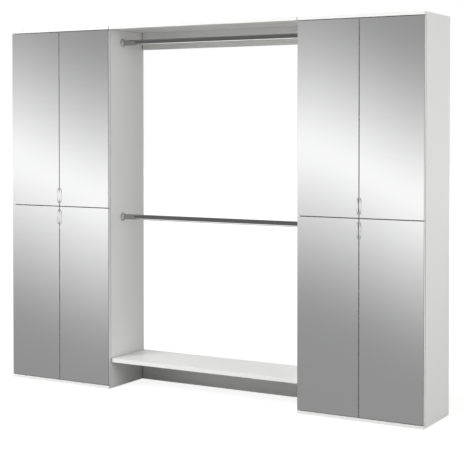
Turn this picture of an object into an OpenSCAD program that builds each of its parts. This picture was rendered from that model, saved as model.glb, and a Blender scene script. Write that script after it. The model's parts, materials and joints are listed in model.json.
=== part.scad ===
// Hallway wardrobe: two narrow cabinets with mirror doors and an open hanging bay between them.
// X runs along the front, Y from front to back, Z up. The origin is on the floor, under the middle.

/* [Overall] */
// Width of each cabinet
cabinet_w = 700; // [600:10:900]
// Clear width of the open bay between the cabinets
bay_w = 1200; // [800:10:1400]
// Height from the floor to the top
height = 2060; // [1900:10:2300]
// Depth from the front of the doors to the back edges
depth = 355; // [320:5:450]

/* [Boards] */
// Thickness of the sides, tops, bottoms and inner shelves
board_t = 16; // [15:1:22]
// Thickness of the thin back panel of a cabinet
back_t = 3; // [2.5:0.5:5]
// Distance from the back edges to the back panel
back_inset = 10; // [8:1:20]
// Depth of the grooves that hold the back panel
groove_d = 6; // [4:0.5:8]
// Play between the back panel and its grooves, on every side
groove_play = 0.2; // [0.1:0.05:0.5]

/* [Doors] */
// Thickness of the board of a door
door_board_t = 16; // [15:1:22]
// Thickness of the mirror glued to the board
mirror_t = 3; // [2:0.5:6]
// Space between the back of a closed door and the cabinet
door_space = 3; // [2.8:0.1:5]
// Distance from the outer edge of a door to the side of the cabinet
side_reveal = 1; // [0:0.5:2]
// Gap between a door and the top or bottom board
end_gap = 3; // [2:0.5:6]
// Gap between two doors that meet
door_gap = 4; // [2:0.5:8]
// Diameter of the soft buffers behind the door corners
buffer_d = 8; // [5:1:12]
// Space left between a buffer and a closed door
buffer_play = 0.3; // [0.2:0.1:0.6]

/* [Pulls] */
// Overall length of a bow pull
pull_len = 88; // [70:2:140]
// How far a pull stands out from the mirror
pull_out = 12; // [11:0.5:18]
// Diameter of the bow
pull_rod_d = 5; // [4:0.5:6]
// Diameter of the two feet of a pull
pull_foot_d = 8; // [6:0.5:9]
// Height of the feet of a pull
pull_foot_h = 4.5; // [4:0.5:6]
// Distance from the free edge of the door to the middle of the pull
pull_edge = 6; // [5:0.5:20]
// Distance from the middle gap's edge of the door to the end of the pull
pull_from_gap = 16; // [10:1:60]
// Diameter of the screws that hold a pull
pull_screw_d = 3.9; // [3:0.1:4.4]
// Diameter of the head of a pull screw
pull_head_d = 8; // [6:0.5:10]
// Height of the head of a pull screw
pull_head_h = 2.2; // [1.5:0.1:2.5]
// Play around a pull screw in the board and the mirror
pull_screw_play = 0.3; // [0.1:0.1:0.6]

/* [Hinges] */
// Distance from the end of a door to the middle of a hinge
hinge_end = 100; // [80:5:150]
// Diameter of a hinge cup
cup_d = 35; // [34:1:38]
// Depth of a hinge cup in the door
cup_depth = 12; // [11.5:0.1:12.5]
// Distance from the edge of the door to the rim of a cup
cup_edge = 2; // [1.5:0.5:3]
// Wall and floor of a hinge cup
cup_wall = 1; // [0.8:0.1:1.2]
// Height of the opening of a cup, along the door's edge
cup_slot_h = 16; // [14:1:17]
// Thickness of the flange of a cup
cup_flange_t = 1; // [0.8:0.1:1.5]
// Width of the flange across the door
cup_flange_w = 13; // [11:1:16]
// Length of the flange along the door's edge
cup_flange_len = 58; // [54:2:64]
// Distance between the two pegs of a flange
cup_peg_span = 46; // [44:1:50]
// Diameter of the pegs that press into the door
cup_peg_d = 8; // [6:0.5:9]
// Length of the pegs
cup_peg_len = 10; // [6:1:11]
// Distance from the rim of a cup to the hinge pin
pin_in_cup = 4.5; // [4.4:0.1:4.8]
// Depth of the hinge pin below the back face of the door
pin_below = 8; // [7.8:0.1:8.2]
// Diameter of the hinge pin
pin_d = 3; // [2.5:0.1:3.2]
// Play between the pin and the eye of the arm, on every side
pin_play = 0.05; // [0.02:0.01:0.1]
// Wall of the eye round the pin
eye_wall = 0.85; // [0.6:0.05:1]
// Height of the arm, along the pin
arm_h = 9; // [7:0.5:9.5]
// Thickness of the bent part of the arm
arm_t = 2; // [1.5:0.1:2.2]
// Thickness of the base plate on the side of the cabinet
plate_t = 2; // [1.5:0.5:3]
// Height of the base plate
plate_h = 46; // [40:1:60]
// Depth of the base plate
plate_d = 22; // [16:1:30]
// Distance from the front edge of the side to the base plate
plate_back = 26; // [20:1:37]
// Length of the arm behind the front edge of the side
arm_len = 58; // [50:1:80]
// Distance between the two screws of a base plate
plate_screw_span = 32; // [32:1:36]
// Diameter of the wood screws
screw_d = 3.5; // [3:0.1:4]
// Length of the wood screws in the wood
screw_len = 12; // [8:1:13]
// Diameter of the head of a wood screw
screw_head_d = 7; // [6:0.5:8]
// Height of the head of a wood screw
screw_head_h = 1.5; // [1:0.1:2]
// Play around the wood screws and the pegs in their holes
screw_play = 0.05; // [0.02:0.01:0.1]

/* [Inner shelves] */
// Loose shelves in each half of a cabinet
shelves_per_half = 2; // [1:1:3]
// Distance from the front of the sides to a loose shelf
shelf_setback = 30; // [10:5:60]
// Distance from a loose shelf to the back panel
shelf_back_space = 2; // [1:0.5:10]
// Play between a loose shelf and the sides, on each side
shelf_play = 0.6; // [0.3:0.1:1]
// Diameter of the shelf pins
shelf_pin_d = 5; // [4:0.5:6]
// Length of a shelf pin in the side
shelf_pin_in = 8; // [6:0.5:9]
// Length of a shelf pin under the shelf
shelf_pin_out = 8; // [6:0.5:10]
// Distance between the holes of a row
hole_pitch = 32; // [25:1:40]
// Spare holes above and below each shelf pin
spare_holes = 1; // [0:1:2]
// Distance from the front and back ends of a loose shelf to its pins
shelf_pin_inset = 40; // [25:5:80]

/* [Dowels] */
// Diameter of the wooden dowels
dowel_d = 8; // [6:1:8]
// Length of a dowel in the end of a board
dowel_in_end = 20; // [14:1:24]
// Length of a dowel in the face of a board
dowel_in_face = 10; // [7:0.5:11]
// Play round a dowel in its holes
dowel_play = 0.05; // [0.02:0.01:0.1]
// Space left at each end of a dowel
dowel_end_play = 0.5; // [0.2:0.1:1]
// Distance from the edges of a board to its dowels
dowel_inset = 50; // [40:5:80]
// Distance from the front and back to the dowels between the top boards
top_dowel_inset = 110; // [90:5:140]

/* [Open bay] */
// Height of the board at the back under the top
back_rail_h = 100; // [60:5:180]
// Height of the board at the back under the low shelf
plinth_h = 150; // [80:5:300]
// Thickness of the low shelf
low_shelf_t = 22; // [16:1:30]
// Distance from the end of a narrow board to its dowels
narrow_dowel_inset = 22; // [15:1:28]

/* [Clothes rails] */
// Height of the oval tube of a rail
rail_h = 30; // [25:1:35]
// Thickness of the oval tube of a rail
rail_w = 15; // [12:1:20]
// Wall of the tube
rail_wall = 1.2; // [0.8:0.1:2]
// Distance from the door fronts to the middle of the rails
rail_y = 140; // [100:5:200]
// Distance from the top board to the middle of the upper rail
rail_drop = 70; // [55:1:120]
// Distance between the two rails
rail_span = 1000; // [800:10:1100]
// Width of the wall plate of a rail socket
socket_w = 45; // [38:1:60]
// Height of the wall plate of a rail socket
socket_h = 51; // [48:1:70]
// Thickness of the wall plate
socket_t = 4; // [3:0.5:6]
// Length of the collar that holds the tube
collar_len = 10; // [6:1:25]
// Wall of the collar
collar_wall = 2; // [1.5:0.5:3]
// Play between a tube and its collar, on every side
collar_play = 0.2; // [0.1:0.1:0.5]
// Distance from the end of a rail tube to the wall plate
rail_end_play = 0.5; // [0.2:0.1:1]

/* [Hidden] */
$fn = 48;

// A cut goes this far past the face that it opens
past = 1;
// Two plain words for the row of a door
UPPER = 1;
LOWER = 0;
// Two plain words for the side that a door is hung on
LEFT = 0;
RIGHT = 1;

total_w = 2 * cabinet_w + bay_w;
left_x = -total_w / 2;
right_x = bay_w / 2;
// The pulls stand out at the front, so the doors are a little in front of the middle
front_y = -(depth - pull_out) / 2;
// Below, y counts from the door fronts and z from the floor
door_t = door_board_t + mirror_t;
body_y = door_t + door_space;
body_d = depth - body_y;
top_z = height - board_t;
mid_z = height / 2;
inner_w = cabinet_w - 2 * board_t;
back_y = depth - back_inset - back_t;

door_w = (cabinet_w - 2 * side_reveal - door_gap) / 2;
door_h = (height - 2 * board_t - 2 * end_gap - door_gap) / 2;
lower_z = board_t + end_gap;
upper_z = mid_z + door_gap / 2;

// The pivot, from the outer edge of a door and from the door's front
pivot_u = cup_edge + pin_in_cup;
pivot_y = door_t - pin_below;
cup_u = cup_edge + cup_d / 2;
// The inner face of a cabinet's side, from the outer edge of a door
side_u = board_t - side_reveal;
neck_u = side_u + plate_t + 2;
eye_r = pin_d / 2 + pin_play + eye_wall;

half_h = mid_z - board_t / 2 - board_t;
shelf_step = (half_h - shelves_per_half * board_t) / (shelves_per_half + 1) + board_t;
shelf_y = body_y + shelf_setback;
shelf_d = back_y - shelf_back_space - shelf_y;
shelf_len = inner_w - 2 * shelf_play;

low_shelf_z = plinth_h;
upper_rail_z = top_z - rail_drop;
lower_rail_z = upper_rail_z - rail_span;
rail_len = bay_w - 2 * socket_t - 2 * rail_end_play;

// Underside of each loose shelf
function shelf_z(half, i) = (half == LOWER ? board_t : mid_z + board_t / 2) + (i + 1) * shelf_step - board_t;
// Bottom of a door
function door_z(row) = row == UPPER ? upper_z : lower_z;
// The heights of the two hinges of a door
function hinge_zs(row) = [door_z(row) + hinge_end, door_z(row) + door_h - hinge_end];
// The middle of a pull, near the gap between upper and lower doors
function pull_z(row) = row == UPPER
    ? upper_z + pull_from_gap + pull_len / 2
    : lower_z + door_h - pull_from_gap - pull_len / 2;
// The left end of a cabinet
function cabinet_x(cab) = cab == LEFT ? left_x : right_x;

// Colours
white = [0.93, 0.93, 0.92];
glass = [0.75, 0.80, 0.83];
chrome = [0.70, 0.71, 0.73];
steel = [0.60, 0.61, 0.62];
beech = [0.80, 0.66, 0.47];
soft = [0.85, 0.85, 0.83];

// Places its children in a cabinet, whose left face is x = 0 and whose door fronts are y = 0
module in_cabinet(cab) {
    translate([cabinet_x(cab), front_y, 0]) children();
}

// Places its children on a hung side: x = 0 is the outer edge of the door and x grows inwards
module in_door(cab, hung) {
    in_cabinet(cab)
        if (hung == LEFT) {
            translate([side_reveal, 0, 0]) children();
        } else {
            translate([cabinet_w - side_reveal, 0, 0]) mirror([1, 0, 0]) children();
        }
}

module in_bay() {
    translate([0, front_y, 0]) children();
}

// A rod along x from x = 0
module rod_x(d, len) {
    rotate([0, 90, 0]) cylinder(d = d, h = len);
}

// A rod along y from y = 0
module rod_y(d, len) {
    rotate([-90, 0, 0]) cylinder(d = d, h = len);
}

// A dowel along x whose joint is at x = 0, with its face side at +x, or the holes for it
module dowel_x(hole) {
    r_play = hole ? dowel_play : 0;
    end_play = hole ? dowel_end_play : 0;
    translate([-dowel_in_end - end_play, 0, 0])
        rod_x(dowel_d + 2 * r_play, dowel_in_end + dowel_in_face + 2 * end_play);
}

// The places of the dowels. Each child is a dowel or hole along x with its face side at +x

// Ends of the sides into the top and bottom boards of a cabinet
module at_side_ends() {
    for (x = [board_t / 2, cabinet_w - board_t / 2], y = [body_y + dowel_inset, back_y - dowel_inset]) {
        translate([x, y, top_z]) rotate([0, -90, 0]) children();
        translate([x, y, board_t]) rotate([0, 90, 0]) children();
    }
}

// Ends of the fixed shelf into the sides of a cabinet
module at_fixed_shelf_ends() {
    for (y = [body_y + dowel_inset, back_y - dowel_inset]) {
        translate([board_t, y, mid_z]) mirror([1, 0, 0]) children();
        translate([cabinet_w - board_t, y, mid_z]) children();
    }
}

// Ends of the boards of the bay into the cabinets beside it
module at_bay_ends() {
    for (flip = [0, 1]) mirror([flip, 0, 0]) {
        for (y = [body_y + dowel_inset, depth - board_t - dowel_inset])
            translate([bay_w / 2, y, low_shelf_z + low_shelf_t / 2]) children();
        for (z = [narrow_dowel_inset, plinth_h - narrow_dowel_inset])
            translate([bay_w / 2, depth - board_t / 2, z]) children();
        for (z = [top_z - narrow_dowel_inset, top_z - back_rail_h + narrow_dowel_inset])
            translate([bay_w / 2, depth - board_t / 2, z]) children();
        for (y = [top_dowel_inset, depth - top_dowel_inset])
            translate([bay_w / 2, y, top_z + board_t / 2]) children();
    }
}

// Shelf pins of a cabinet: each child is a rod along x, with the side's inner face at x = 0
module at_shelf_pins(spare) {
    for (half = [LOWER, UPPER], i = [0 : shelves_per_half - 1], k = [-spare : spare])
        for (y = [shelf_y + shelf_pin_inset, shelf_y + shelf_d - shelf_pin_inset]) {
            z = shelf_z(half, i) - shelf_pin_d / 2 + k * hole_pitch;
            translate([board_t, y, z]) children();
            translate([cabinet_w - board_t, y, z]) mirror([1, 0, 0]) children();
        }
}

// Screws of the hinge base plates: each child lies along x, with the side's inner face at x = 0
module at_hinge_screws(cab) {
    for (hung = [LEFT, RIGHT], row = [LOWER, UPPER], z = hinge_zs(row), s = [-1, 1])
        in_door(cab, hung)
            translate([side_u, body_y + plate_back + plate_d / 2, z + s * plate_screw_span / 2])
                children();
}

// Screws of the rail sockets: each child lies along x, with the cabinet's face at x = 0
module at_socket_screws() {
    in_bay()
        for (flip = [0, 1], z = [lower_rail_z, upper_rail_z], s = [-1, 1])
            mirror([flip, 0, 0])
                translate([-bay_w / 2, rail_y, z + s * (socket_h / 2 - screw_head_d / 2 - 0.8)])
                    children();
}

// A wood screw into -x, for a plate of the given thickness, or the hole for it
module wood_screw(plate, hole) {
    r_play = hole ? screw_play : 0;
    translate([-screw_len - (hole ? 0.5 : 0), 0, 0])
        rod_x(screw_d + 2 * r_play, screw_len + plate + (hole ? past : 0.5));
    if (!hole)
        translate([plate, 0, 0]) rod_x(screw_head_d, screw_head_h);
}

// The groove for the back panel, along the inner face of a board
module groove(size) {
    translate([0, back_y - groove_play, 0])
        cube([size[0], back_t + 2 * groove_play, size[2]]);
}

module cabinet_top_board(cab) {
    color(white)
    difference() {
        in_cabinet(cab) difference() {
            translate([0, 0, top_z]) cube([cabinet_w, depth, board_t]);
            translate([board_t - groove_d, 0, top_z - past])
                groove([inner_w + 2 * groove_d, 0, groove_d + past]);
            at_side_ends() dowel_x(true);
        }
        in_bay() at_bay_ends() dowel_x(true);
    }
}

module cabinet_bottom_board(cab) {
    color(white)
    in_cabinet(cab) difference() {
        cube([cabinet_w, depth, board_t]);
        translate([board_t - groove_d, 0, board_t - groove_d])
            groove([inner_w + 2 * groove_d, 0, groove_d + past]);
        at_side_ends() dowel_x(true);
    }
}

// A side of a cabinet, with holes for its dowels, shelf pins and screws
module cabinet_side(cab, hung) {
    x = hung == LEFT ? 0 : cabinet_w - board_t;
    groove_x = hung == LEFT ? board_t - groove_d : cabinet_w - board_t - past;
    color(white)
    difference() {
        in_cabinet(cab) difference() {
            translate([x, body_y, board_t]) cube([board_t, body_d, top_z - board_t]);
            translate([groove_x, 0, board_t - past]) groove([groove_d + past, 0, top_z - board_t + 2 * past]);
            at_side_ends() dowel_x(true);
            at_fixed_shelf_ends() dowel_x(true);
            at_shelf_pins(spare_holes)
                translate([-shelf_pin_in - 0.5, 0, 0]) rod_x(shelf_pin_d + 0.1, shelf_pin_in + 0.5 + past);
        }
        at_hinge_screws(cab) wood_screw(0, true);
        if (cab != hung) {
            in_bay() at_bay_ends() dowel_x(true);
            at_socket_screws() wood_screw(0, true);
        }
    }
}

module cabinet_back_panel(cab) {
    reach = groove_d - groove_play;
    color(white)
    in_cabinet(cab)
        translate([board_t - reach, back_y, board_t - reach])
            cube([inner_w + 2 * reach, back_t, top_z - board_t + 2 * reach]);
}

module cabinet_fixed_shelf(cab) {
    color(white)
    in_cabinet(cab) difference() {
        translate([board_t, body_y, mid_z - board_t / 2])
            cube([inner_w, back_y - body_y, board_t]);
        at_fixed_shelf_ends() dowel_x(true);
    }
}

module cabinet_loose_shelves(cab) {
    color(white)
    in_cabinet(cab)
        for (half = [LOWER, UPPER], i = [0 : shelves_per_half - 1])
            translate([board_t + shelf_play, shelf_y, shelf_z(half, i)])
                cube([shelf_len, shelf_d, board_t]);
}

module cabinet_shelf_pins(cab) {
    color(steel)
    in_cabinet(cab)
        at_shelf_pins(0)
            translate([-shelf_pin_in, 0, 0]) rod_x(shelf_pin_d, shelf_pin_in + shelf_pin_out);
}

// One hinge arm: an eye on the pin, a neck out of the cup, and a base plate on the side
module hinge_arm() {
    difference() {
        union() {
            translate([pivot_u, pivot_y, -arm_h / 2]) cylinder(r = eye_r, h = arm_h);
            translate([pivot_u, pivot_y - arm_t / 2, -arm_h / 2])
                cube([neck_u + arm_t - pivot_u, arm_t, arm_h]);
            translate([neck_u, pivot_y - arm_t / 2, -arm_h / 2])
                cube([arm_t, body_y + plate_t + arm_t / 2 - pivot_y, arm_h]);
            translate([side_u, body_y + plate_t, -arm_h / 2])
                cube([neck_u + arm_t - side_u, arm_len - plate_t, arm_h]);
            translate([side_u, body_y + plate_back, -plate_h / 2])
                cube([plate_t, plate_d, plate_h]);
        }
        translate([pivot_u, pivot_y, -arm_h / 2 - past])
            cylinder(r = pin_d / 2 + pin_play, h = arm_h + 2 * past);
        for (s = [-1, 1])
            translate([side_u, body_y + plate_back + plate_d / 2, s * plate_screw_span / 2])
                translate([-past, 0, 0]) rod_x(screw_d + 2 * screw_play, plate_t + 2 * past);
    }
}

module cabinet_hinge_arms(cab) {
    color(steel)
    for (hung = [LEFT, RIGHT], row = [LOWER, UPPER], z = hinge_zs(row))
        in_door(cab, hung) translate([0, 0, z]) hinge_arm();
}

// One hinge cup with its flange, pegs and the pin that is riveted across it
module hinge_cup() {
    difference() {
        union() {
            translate([cup_u, door_t - cup_depth, 0]) rod_y(cup_d - 2 * screw_play, cup_depth);
            translate([cup_u - cup_flange_w / 2, door_t, -cup_flange_len / 2])
                cube([cup_flange_w, cup_flange_t, cup_flange_len]);
            translate([cup_u, door_t, 0]) rod_y(cup_d, cup_flange_t);
            for (s = [-1, 1])
                translate([cup_u, door_t - cup_peg_len, s * cup_peg_span / 2])
                    rod_y(cup_peg_d - 2 * screw_play, cup_peg_len + cup_flange_t / 2);
        }
        intersection() {
            translate([cup_u, door_t - cup_depth + cup_wall, 0])
                rod_y(cup_d - 2 * cup_wall, cup_depth - cup_wall + cup_flange_t + past);
            translate([0, 0, -cup_slot_h / 2])
                cube([cup_edge + cup_d, door_t + cup_flange_t + past, cup_slot_h]);
        }
    }
    translate([pivot_u, pivot_y, -cup_slot_h / 2 - 1]) cylinder(d = pin_d, h = cup_slot_h + 2);
}

module hinge_cups(cab, hung, row) {
    color(steel)
    for (z = hinge_zs(row))
        in_door(cab, hung) translate([0, 0, z]) hinge_cup();
}

// Each child lies along y, with the mirror's face at y = 0
module at_pull_feet(row) {
    for (s = [-1, 1])
        translate([door_w - pull_edge, 0, pull_z(row) + s * (pull_len - pull_foot_d) / 2]) children();
}

module door_board(cab, hung, row) {
    color(white)
    in_door(cab, hung) difference() {
        translate([0, mirror_t, door_z(row)]) cube([door_w, door_board_t, door_h]);
        for (z = hinge_zs(row)) {
            translate([cup_u, door_t - cup_depth - 0.5, z]) rod_y(cup_d, cup_depth + 0.5 + past);
            for (s = [-1, 1])
                translate([cup_u, door_t - cup_peg_len - 0.5, z + s * cup_peg_span / 2])
                    rod_y(cup_peg_d, cup_peg_len + 0.5 + past);
        }
        at_pull_feet(row) rod_y(pull_screw_d + 2 * pull_screw_play, door_t + past);
    }
}

module door_mirror(cab, hung, row) {
    color(glass)
    in_door(cab, hung) difference() {
        translate([0, 0, door_z(row)]) cube([door_w, mirror_t, door_h]);
        at_pull_feet(row)
            translate([0, -past, 0]) rod_y(pull_screw_d + 2 * pull_screw_play, mirror_t + 2 * past);
    }
}

// A bow pull: an arc of round rod on two feet, and the two screws that come from behind
module door_pull(cab, hung, row) {
    half = (pull_len - pull_foot_d) / 2;
    end_out = pull_rod_d / 2 + 0.5;
    rise = pull_out - pull_rod_d / 2 - end_out;
    arc_r = (half * half + rise * rise) / (2 * rise);
    arc_half = asin(half / arc_r);
    color(chrome)
    in_door(cab, hung) {
        difference() {
            union() {
                translate([door_w - pull_edge, arc_r - rise - end_out, pull_z(row)])
                    rotate([0, 90, 0]) rotate([0, 0, 270 - arc_half])
                        rotate_extrude(angle = 2 * arc_half) translate([arc_r, 0]) circle(d = pull_rod_d);
                at_pull_feet(row) translate([0, -pull_foot_h, 0]) rod_y(pull_foot_d, pull_foot_h);
            }
            at_pull_feet(row)
                translate([0, 0.5 - pull_foot_h, 0]) rod_y(pull_screw_d + 2 * screw_play, pull_foot_h + past);
        }
        at_pull_feet(row) {
            translate([0, 1 - pull_foot_h, 0]) rod_y(pull_screw_d, door_t + pull_foot_h - 1);
            translate([0, door_t, 0]) rod_y(pull_head_d, pull_head_h);
        }
    }
}

// The top board of the bay lies between the top boards of the cabinets
module bay_top_board() {
    color(white)
    in_bay() difference() {
        translate([-bay_w / 2, 0, top_z]) cube([bay_w, depth, board_t]);
        at_bay_ends() dowel_x(true);
    }
}

module bay_back_rail() {
    color(white)
    in_bay() difference() {
        translate([-bay_w / 2, depth - board_t, top_z - back_rail_h]) cube([bay_w, board_t, back_rail_h]);
        at_bay_ends() dowel_x(true);
    }
}

module bay_plinth() {
    color(white)
    in_bay() difference() {
        translate([-bay_w / 2, depth - board_t, 0]) cube([bay_w, board_t, plinth_h]);
        at_bay_ends() dowel_x(true);
    }
}

module bay_low_shelf() {
    color(white)
    in_bay() difference() {
        translate([-bay_w / 2, body_y, low_shelf_z]) cube([bay_w, body_d, low_shelf_t]);
        at_bay_ends() dowel_x(true);
    }
}

// An upright oval: a round at each end of a straight middle
module oval(w, h) {
    for (s = [-1, 1]) translate([s * (h - w) / 2, 0]) circle(d = w);
    square([h - w, w], center = true);
}

// An oval bar along x from x = 0, standing on its narrow side
module oval_bar(w, h, len) {
    rotate([0, 90, 0]) linear_extrude(len) oval(w, h);
}

module clothes_rail(z) {
    color(chrome)
    in_bay() translate([-rail_len / 2, rail_y, z]) difference() {
        oval_bar(rail_w, rail_h, rail_len);
        translate([-past, 0, 0]) oval_bar(rail_w - 2 * rail_wall, rail_h - 2 * rail_wall, rail_len + 2 * past);
    }
}

// A socket at each end of each rail: a wall plate with a collar round the tube
module rail_sockets() {
    hole_w = rail_w + 2 * collar_play;
    hole_h = rail_h + 2 * collar_play;
    color(chrome)
    difference() {
        in_bay()
            for (z = [lower_rail_z, upper_rail_z], flip = [0, 1])
                mirror([flip, 0, 0]) translate([-bay_w / 2, rail_y, z]) difference() {
                    union() {
                        oval_bar(socket_w, socket_h, socket_t);
                        oval_bar(hole_w + 2 * collar_wall, hole_h + 2 * collar_wall, socket_t + collar_len);
                    }
                    translate([socket_t, 0, 0]) oval_bar(hole_w, hole_h, collar_len + past);
                }
        at_socket_screws() translate([-past, 0, 0]) rod_x(screw_d + 2 * screw_play, socket_t + 2 * past);
    }
}

module wooden_dowels() {
    color(beech) {
        for (cab = [LEFT, RIGHT]) in_cabinet(cab) {
            at_side_ends() dowel_x(false);
            at_fixed_shelf_ends() dowel_x(false);
        }
        in_bay() at_bay_ends() dowel_x(false);
    }
}

module wood_screws() {
    color(steel) {
        for (cab = [LEFT, RIGHT]) at_hinge_screws(cab) wood_screw(plate_t, false);
        at_socket_screws() wood_screw(socket_t, false);
    }
}

// Buffers on the front edge of each fixed shelf, behind the meeting corners of the doors
module door_buffers() {
    color(soft)
    for (cab = [LEFT, RIGHT], hung = [LEFT, RIGHT])
        in_door(cab, hung)
            translate([door_w - 2 * buffer_d, body_y - door_space + buffer_play, mid_z])
                rod_y(buffer_d, door_space - buffer_play);
}

cabinet_top_board(LEFT);  // left_cabinet_top_board
cabinet_bottom_board(LEFT);  // left_cabinet_bottom_board
cabinet_side(LEFT, LEFT);  // left_cabinet_left_side
cabinet_side(LEFT, RIGHT);  // left_cabinet_right_side
cabinet_back_panel(LEFT);  // left_cabinet_back_panel
cabinet_fixed_shelf(LEFT);  // left_cabinet_fixed_shelf
cabinet_loose_shelves(LEFT);  // left_cabinet_loose_shelves
cabinet_shelf_pins(LEFT);  // left_cabinet_shelf_pins
cabinet_hinge_arms(LEFT);  // left_cabinet_hinge_arms
cabinet_top_board(RIGHT);  // right_cabinet_top_board
cabinet_bottom_board(RIGHT);  // right_cabinet_bottom_board
cabinet_side(RIGHT, LEFT);  // right_cabinet_left_side
cabinet_side(RIGHT, RIGHT);  // right_cabinet_right_side
cabinet_back_panel(RIGHT);  // right_cabinet_back_panel
cabinet_fixed_shelf(RIGHT);  // right_cabinet_fixed_shelf
cabinet_loose_shelves(RIGHT);  // right_cabinet_loose_shelves
cabinet_shelf_pins(RIGHT);  // right_cabinet_shelf_pins
cabinet_hinge_arms(RIGHT);  // right_cabinet_hinge_arms
door_board(LEFT, LEFT, UPPER);  // left_cabinet_upper_left_door
door_mirror(LEFT, LEFT, UPPER);  // left_cabinet_upper_left_mirror
door_pull(LEFT, LEFT, UPPER);  // left_cabinet_upper_left_pull
hinge_cups(LEFT, LEFT, UPPER);  // left_cabinet_upper_left_hinge_cups
door_board(LEFT, RIGHT, UPPER);  // left_cabinet_upper_right_door
door_mirror(LEFT, RIGHT, UPPER);  // left_cabinet_upper_right_mirror
door_pull(LEFT, RIGHT, UPPER);  // left_cabinet_upper_right_pull
hinge_cups(LEFT, RIGHT, UPPER);  // left_cabinet_upper_right_hinge_cups
door_board(LEFT, LEFT, LOWER);  // left_cabinet_lower_left_door
door_mirror(LEFT, LEFT, LOWER);  // left_cabinet_lower_left_mirror
door_pull(LEFT, LEFT, LOWER);  // left_cabinet_lower_left_pull
hinge_cups(LEFT, LEFT, LOWER);  // left_cabinet_lower_left_hinge_cups
door_board(LEFT, RIGHT, LOWER);  // left_cabinet_lower_right_door
door_mirror(LEFT, RIGHT, LOWER);  // left_cabinet_lower_right_mirror
door_pull(LEFT, RIGHT, LOWER);  // left_cabinet_lower_right_pull
hinge_cups(LEFT, RIGHT, LOWER);  // left_cabinet_lower_right_hinge_cups
door_board(RIGHT, LEFT, UPPER);  // right_cabinet_upper_left_door
door_mirror(RIGHT, LEFT, UPPER);  // right_cabinet_upper_left_mirror
door_pull(RIGHT, LEFT, UPPER);  // right_cabinet_upper_left_pull
hinge_cups(RIGHT, LEFT, UPPER);  // right_cabinet_upper_left_hinge_cups
door_board(RIGHT, RIGHT, UPPER);  // right_cabinet_upper_right_door
door_mirror(RIGHT, RIGHT, UPPER);  // right_cabinet_upper_right_mirror
door_pull(RIGHT, RIGHT, UPPER);  // right_cabinet_upper_right_pull
hinge_cups(RIGHT, RIGHT, UPPER);  // right_cabinet_upper_right_hinge_cups
door_board(RIGHT, LEFT, LOWER);  // right_cabinet_lower_left_door
door_mirror(RIGHT, LEFT, LOWER);  // right_cabinet_lower_left_mirror
door_pull(RIGHT, LEFT, LOWER);  // right_cabinet_lower_left_pull
hinge_cups(RIGHT, LEFT, LOWER);  // right_cabinet_lower_left_hinge_cups
door_board(RIGHT, RIGHT, LOWER);  // right_cabinet_lower_right_door
door_mirror(RIGHT, RIGHT, LOWER);  // right_cabinet_lower_right_mirror
door_pull(RIGHT, RIGHT, LOWER);  // right_cabinet_lower_right_pull
hinge_cups(RIGHT, RIGHT, LOWER);  // right_cabinet_lower_right_hinge_cups
bay_top_board();
bay_back_rail();
bay_plinth();
bay_low_shelf();
clothes_rail(upper_rail_z);  // upper_clothes_rail
clothes_rail(lower_rail_z);  // lower_clothes_rail
rail_sockets();
wooden_dowels();
wood_screws();
door_buffers();
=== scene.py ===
"""Looks of a hallway wardrobe: two narrow cabinets with mirror doors and an open hanging bay between them.

Everything is in metres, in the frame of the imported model: X runs along the front, Y from front to back, Z up.
"""

import json
import logging
import math
from dataclasses import dataclass, field
from enum import Enum

import bmesh
import bpy
import numpy as np
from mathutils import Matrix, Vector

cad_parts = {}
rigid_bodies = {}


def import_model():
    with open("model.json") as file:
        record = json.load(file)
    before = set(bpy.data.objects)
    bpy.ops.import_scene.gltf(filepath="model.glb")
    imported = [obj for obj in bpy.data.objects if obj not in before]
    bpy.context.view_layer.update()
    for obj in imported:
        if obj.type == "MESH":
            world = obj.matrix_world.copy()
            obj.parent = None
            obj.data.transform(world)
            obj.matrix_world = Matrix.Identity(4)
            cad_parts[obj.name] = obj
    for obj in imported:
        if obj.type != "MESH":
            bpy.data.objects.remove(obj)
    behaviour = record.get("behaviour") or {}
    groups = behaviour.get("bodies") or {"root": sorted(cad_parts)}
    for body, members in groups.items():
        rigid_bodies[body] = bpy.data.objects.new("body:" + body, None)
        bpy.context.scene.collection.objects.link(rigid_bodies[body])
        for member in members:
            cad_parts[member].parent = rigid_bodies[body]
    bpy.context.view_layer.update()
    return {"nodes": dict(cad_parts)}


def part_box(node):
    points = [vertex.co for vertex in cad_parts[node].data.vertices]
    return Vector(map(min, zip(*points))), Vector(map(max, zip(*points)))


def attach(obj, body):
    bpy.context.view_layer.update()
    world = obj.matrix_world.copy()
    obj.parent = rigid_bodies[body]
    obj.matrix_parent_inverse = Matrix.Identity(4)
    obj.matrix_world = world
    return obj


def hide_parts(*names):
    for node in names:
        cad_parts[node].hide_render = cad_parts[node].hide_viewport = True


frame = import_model()

log = logging.getLogger("wardrobe")

Colour = tuple[float, float, float]
Place = tuple[float, float, float]
Socket = bpy.types.NodeSocket
Given = bpy.types.NodeOutputs
Piece = bpy.types.Object
Mesh = bpy.types.Mesh
MM = 0.001
SMOOTH_ANGLE = math.radians(35)
DISPLAY_GAMMA = 2.2


class Slot(Enum):
    """The material slots of the record."""

    WHITE_BOARD = "white_board"
    WHITE_HARDBOARD = "white_hardboard"
    MIRROR = "mirror"
    CHROME = "chrome"
    HINGE_STEEL = "hinge_steel"
    BEECH = "beech"
    SOFT_BUFFER = "soft_buffer"


class Axis(Enum):
    """The way that the axis of a turned piece points."""

    X = 0
    Y = 1
    Z = 2


class Side(Enum):
    """Left or right, for a cabinet or for the edge that a door hangs on."""

    LEFT = "left"
    RIGHT = "right"


class Row(Enum):
    """The upper or the lower row of doors."""

    UPPER = "upper"
    LOWER = "lower"


# Shapes worked out with numpy


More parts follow.
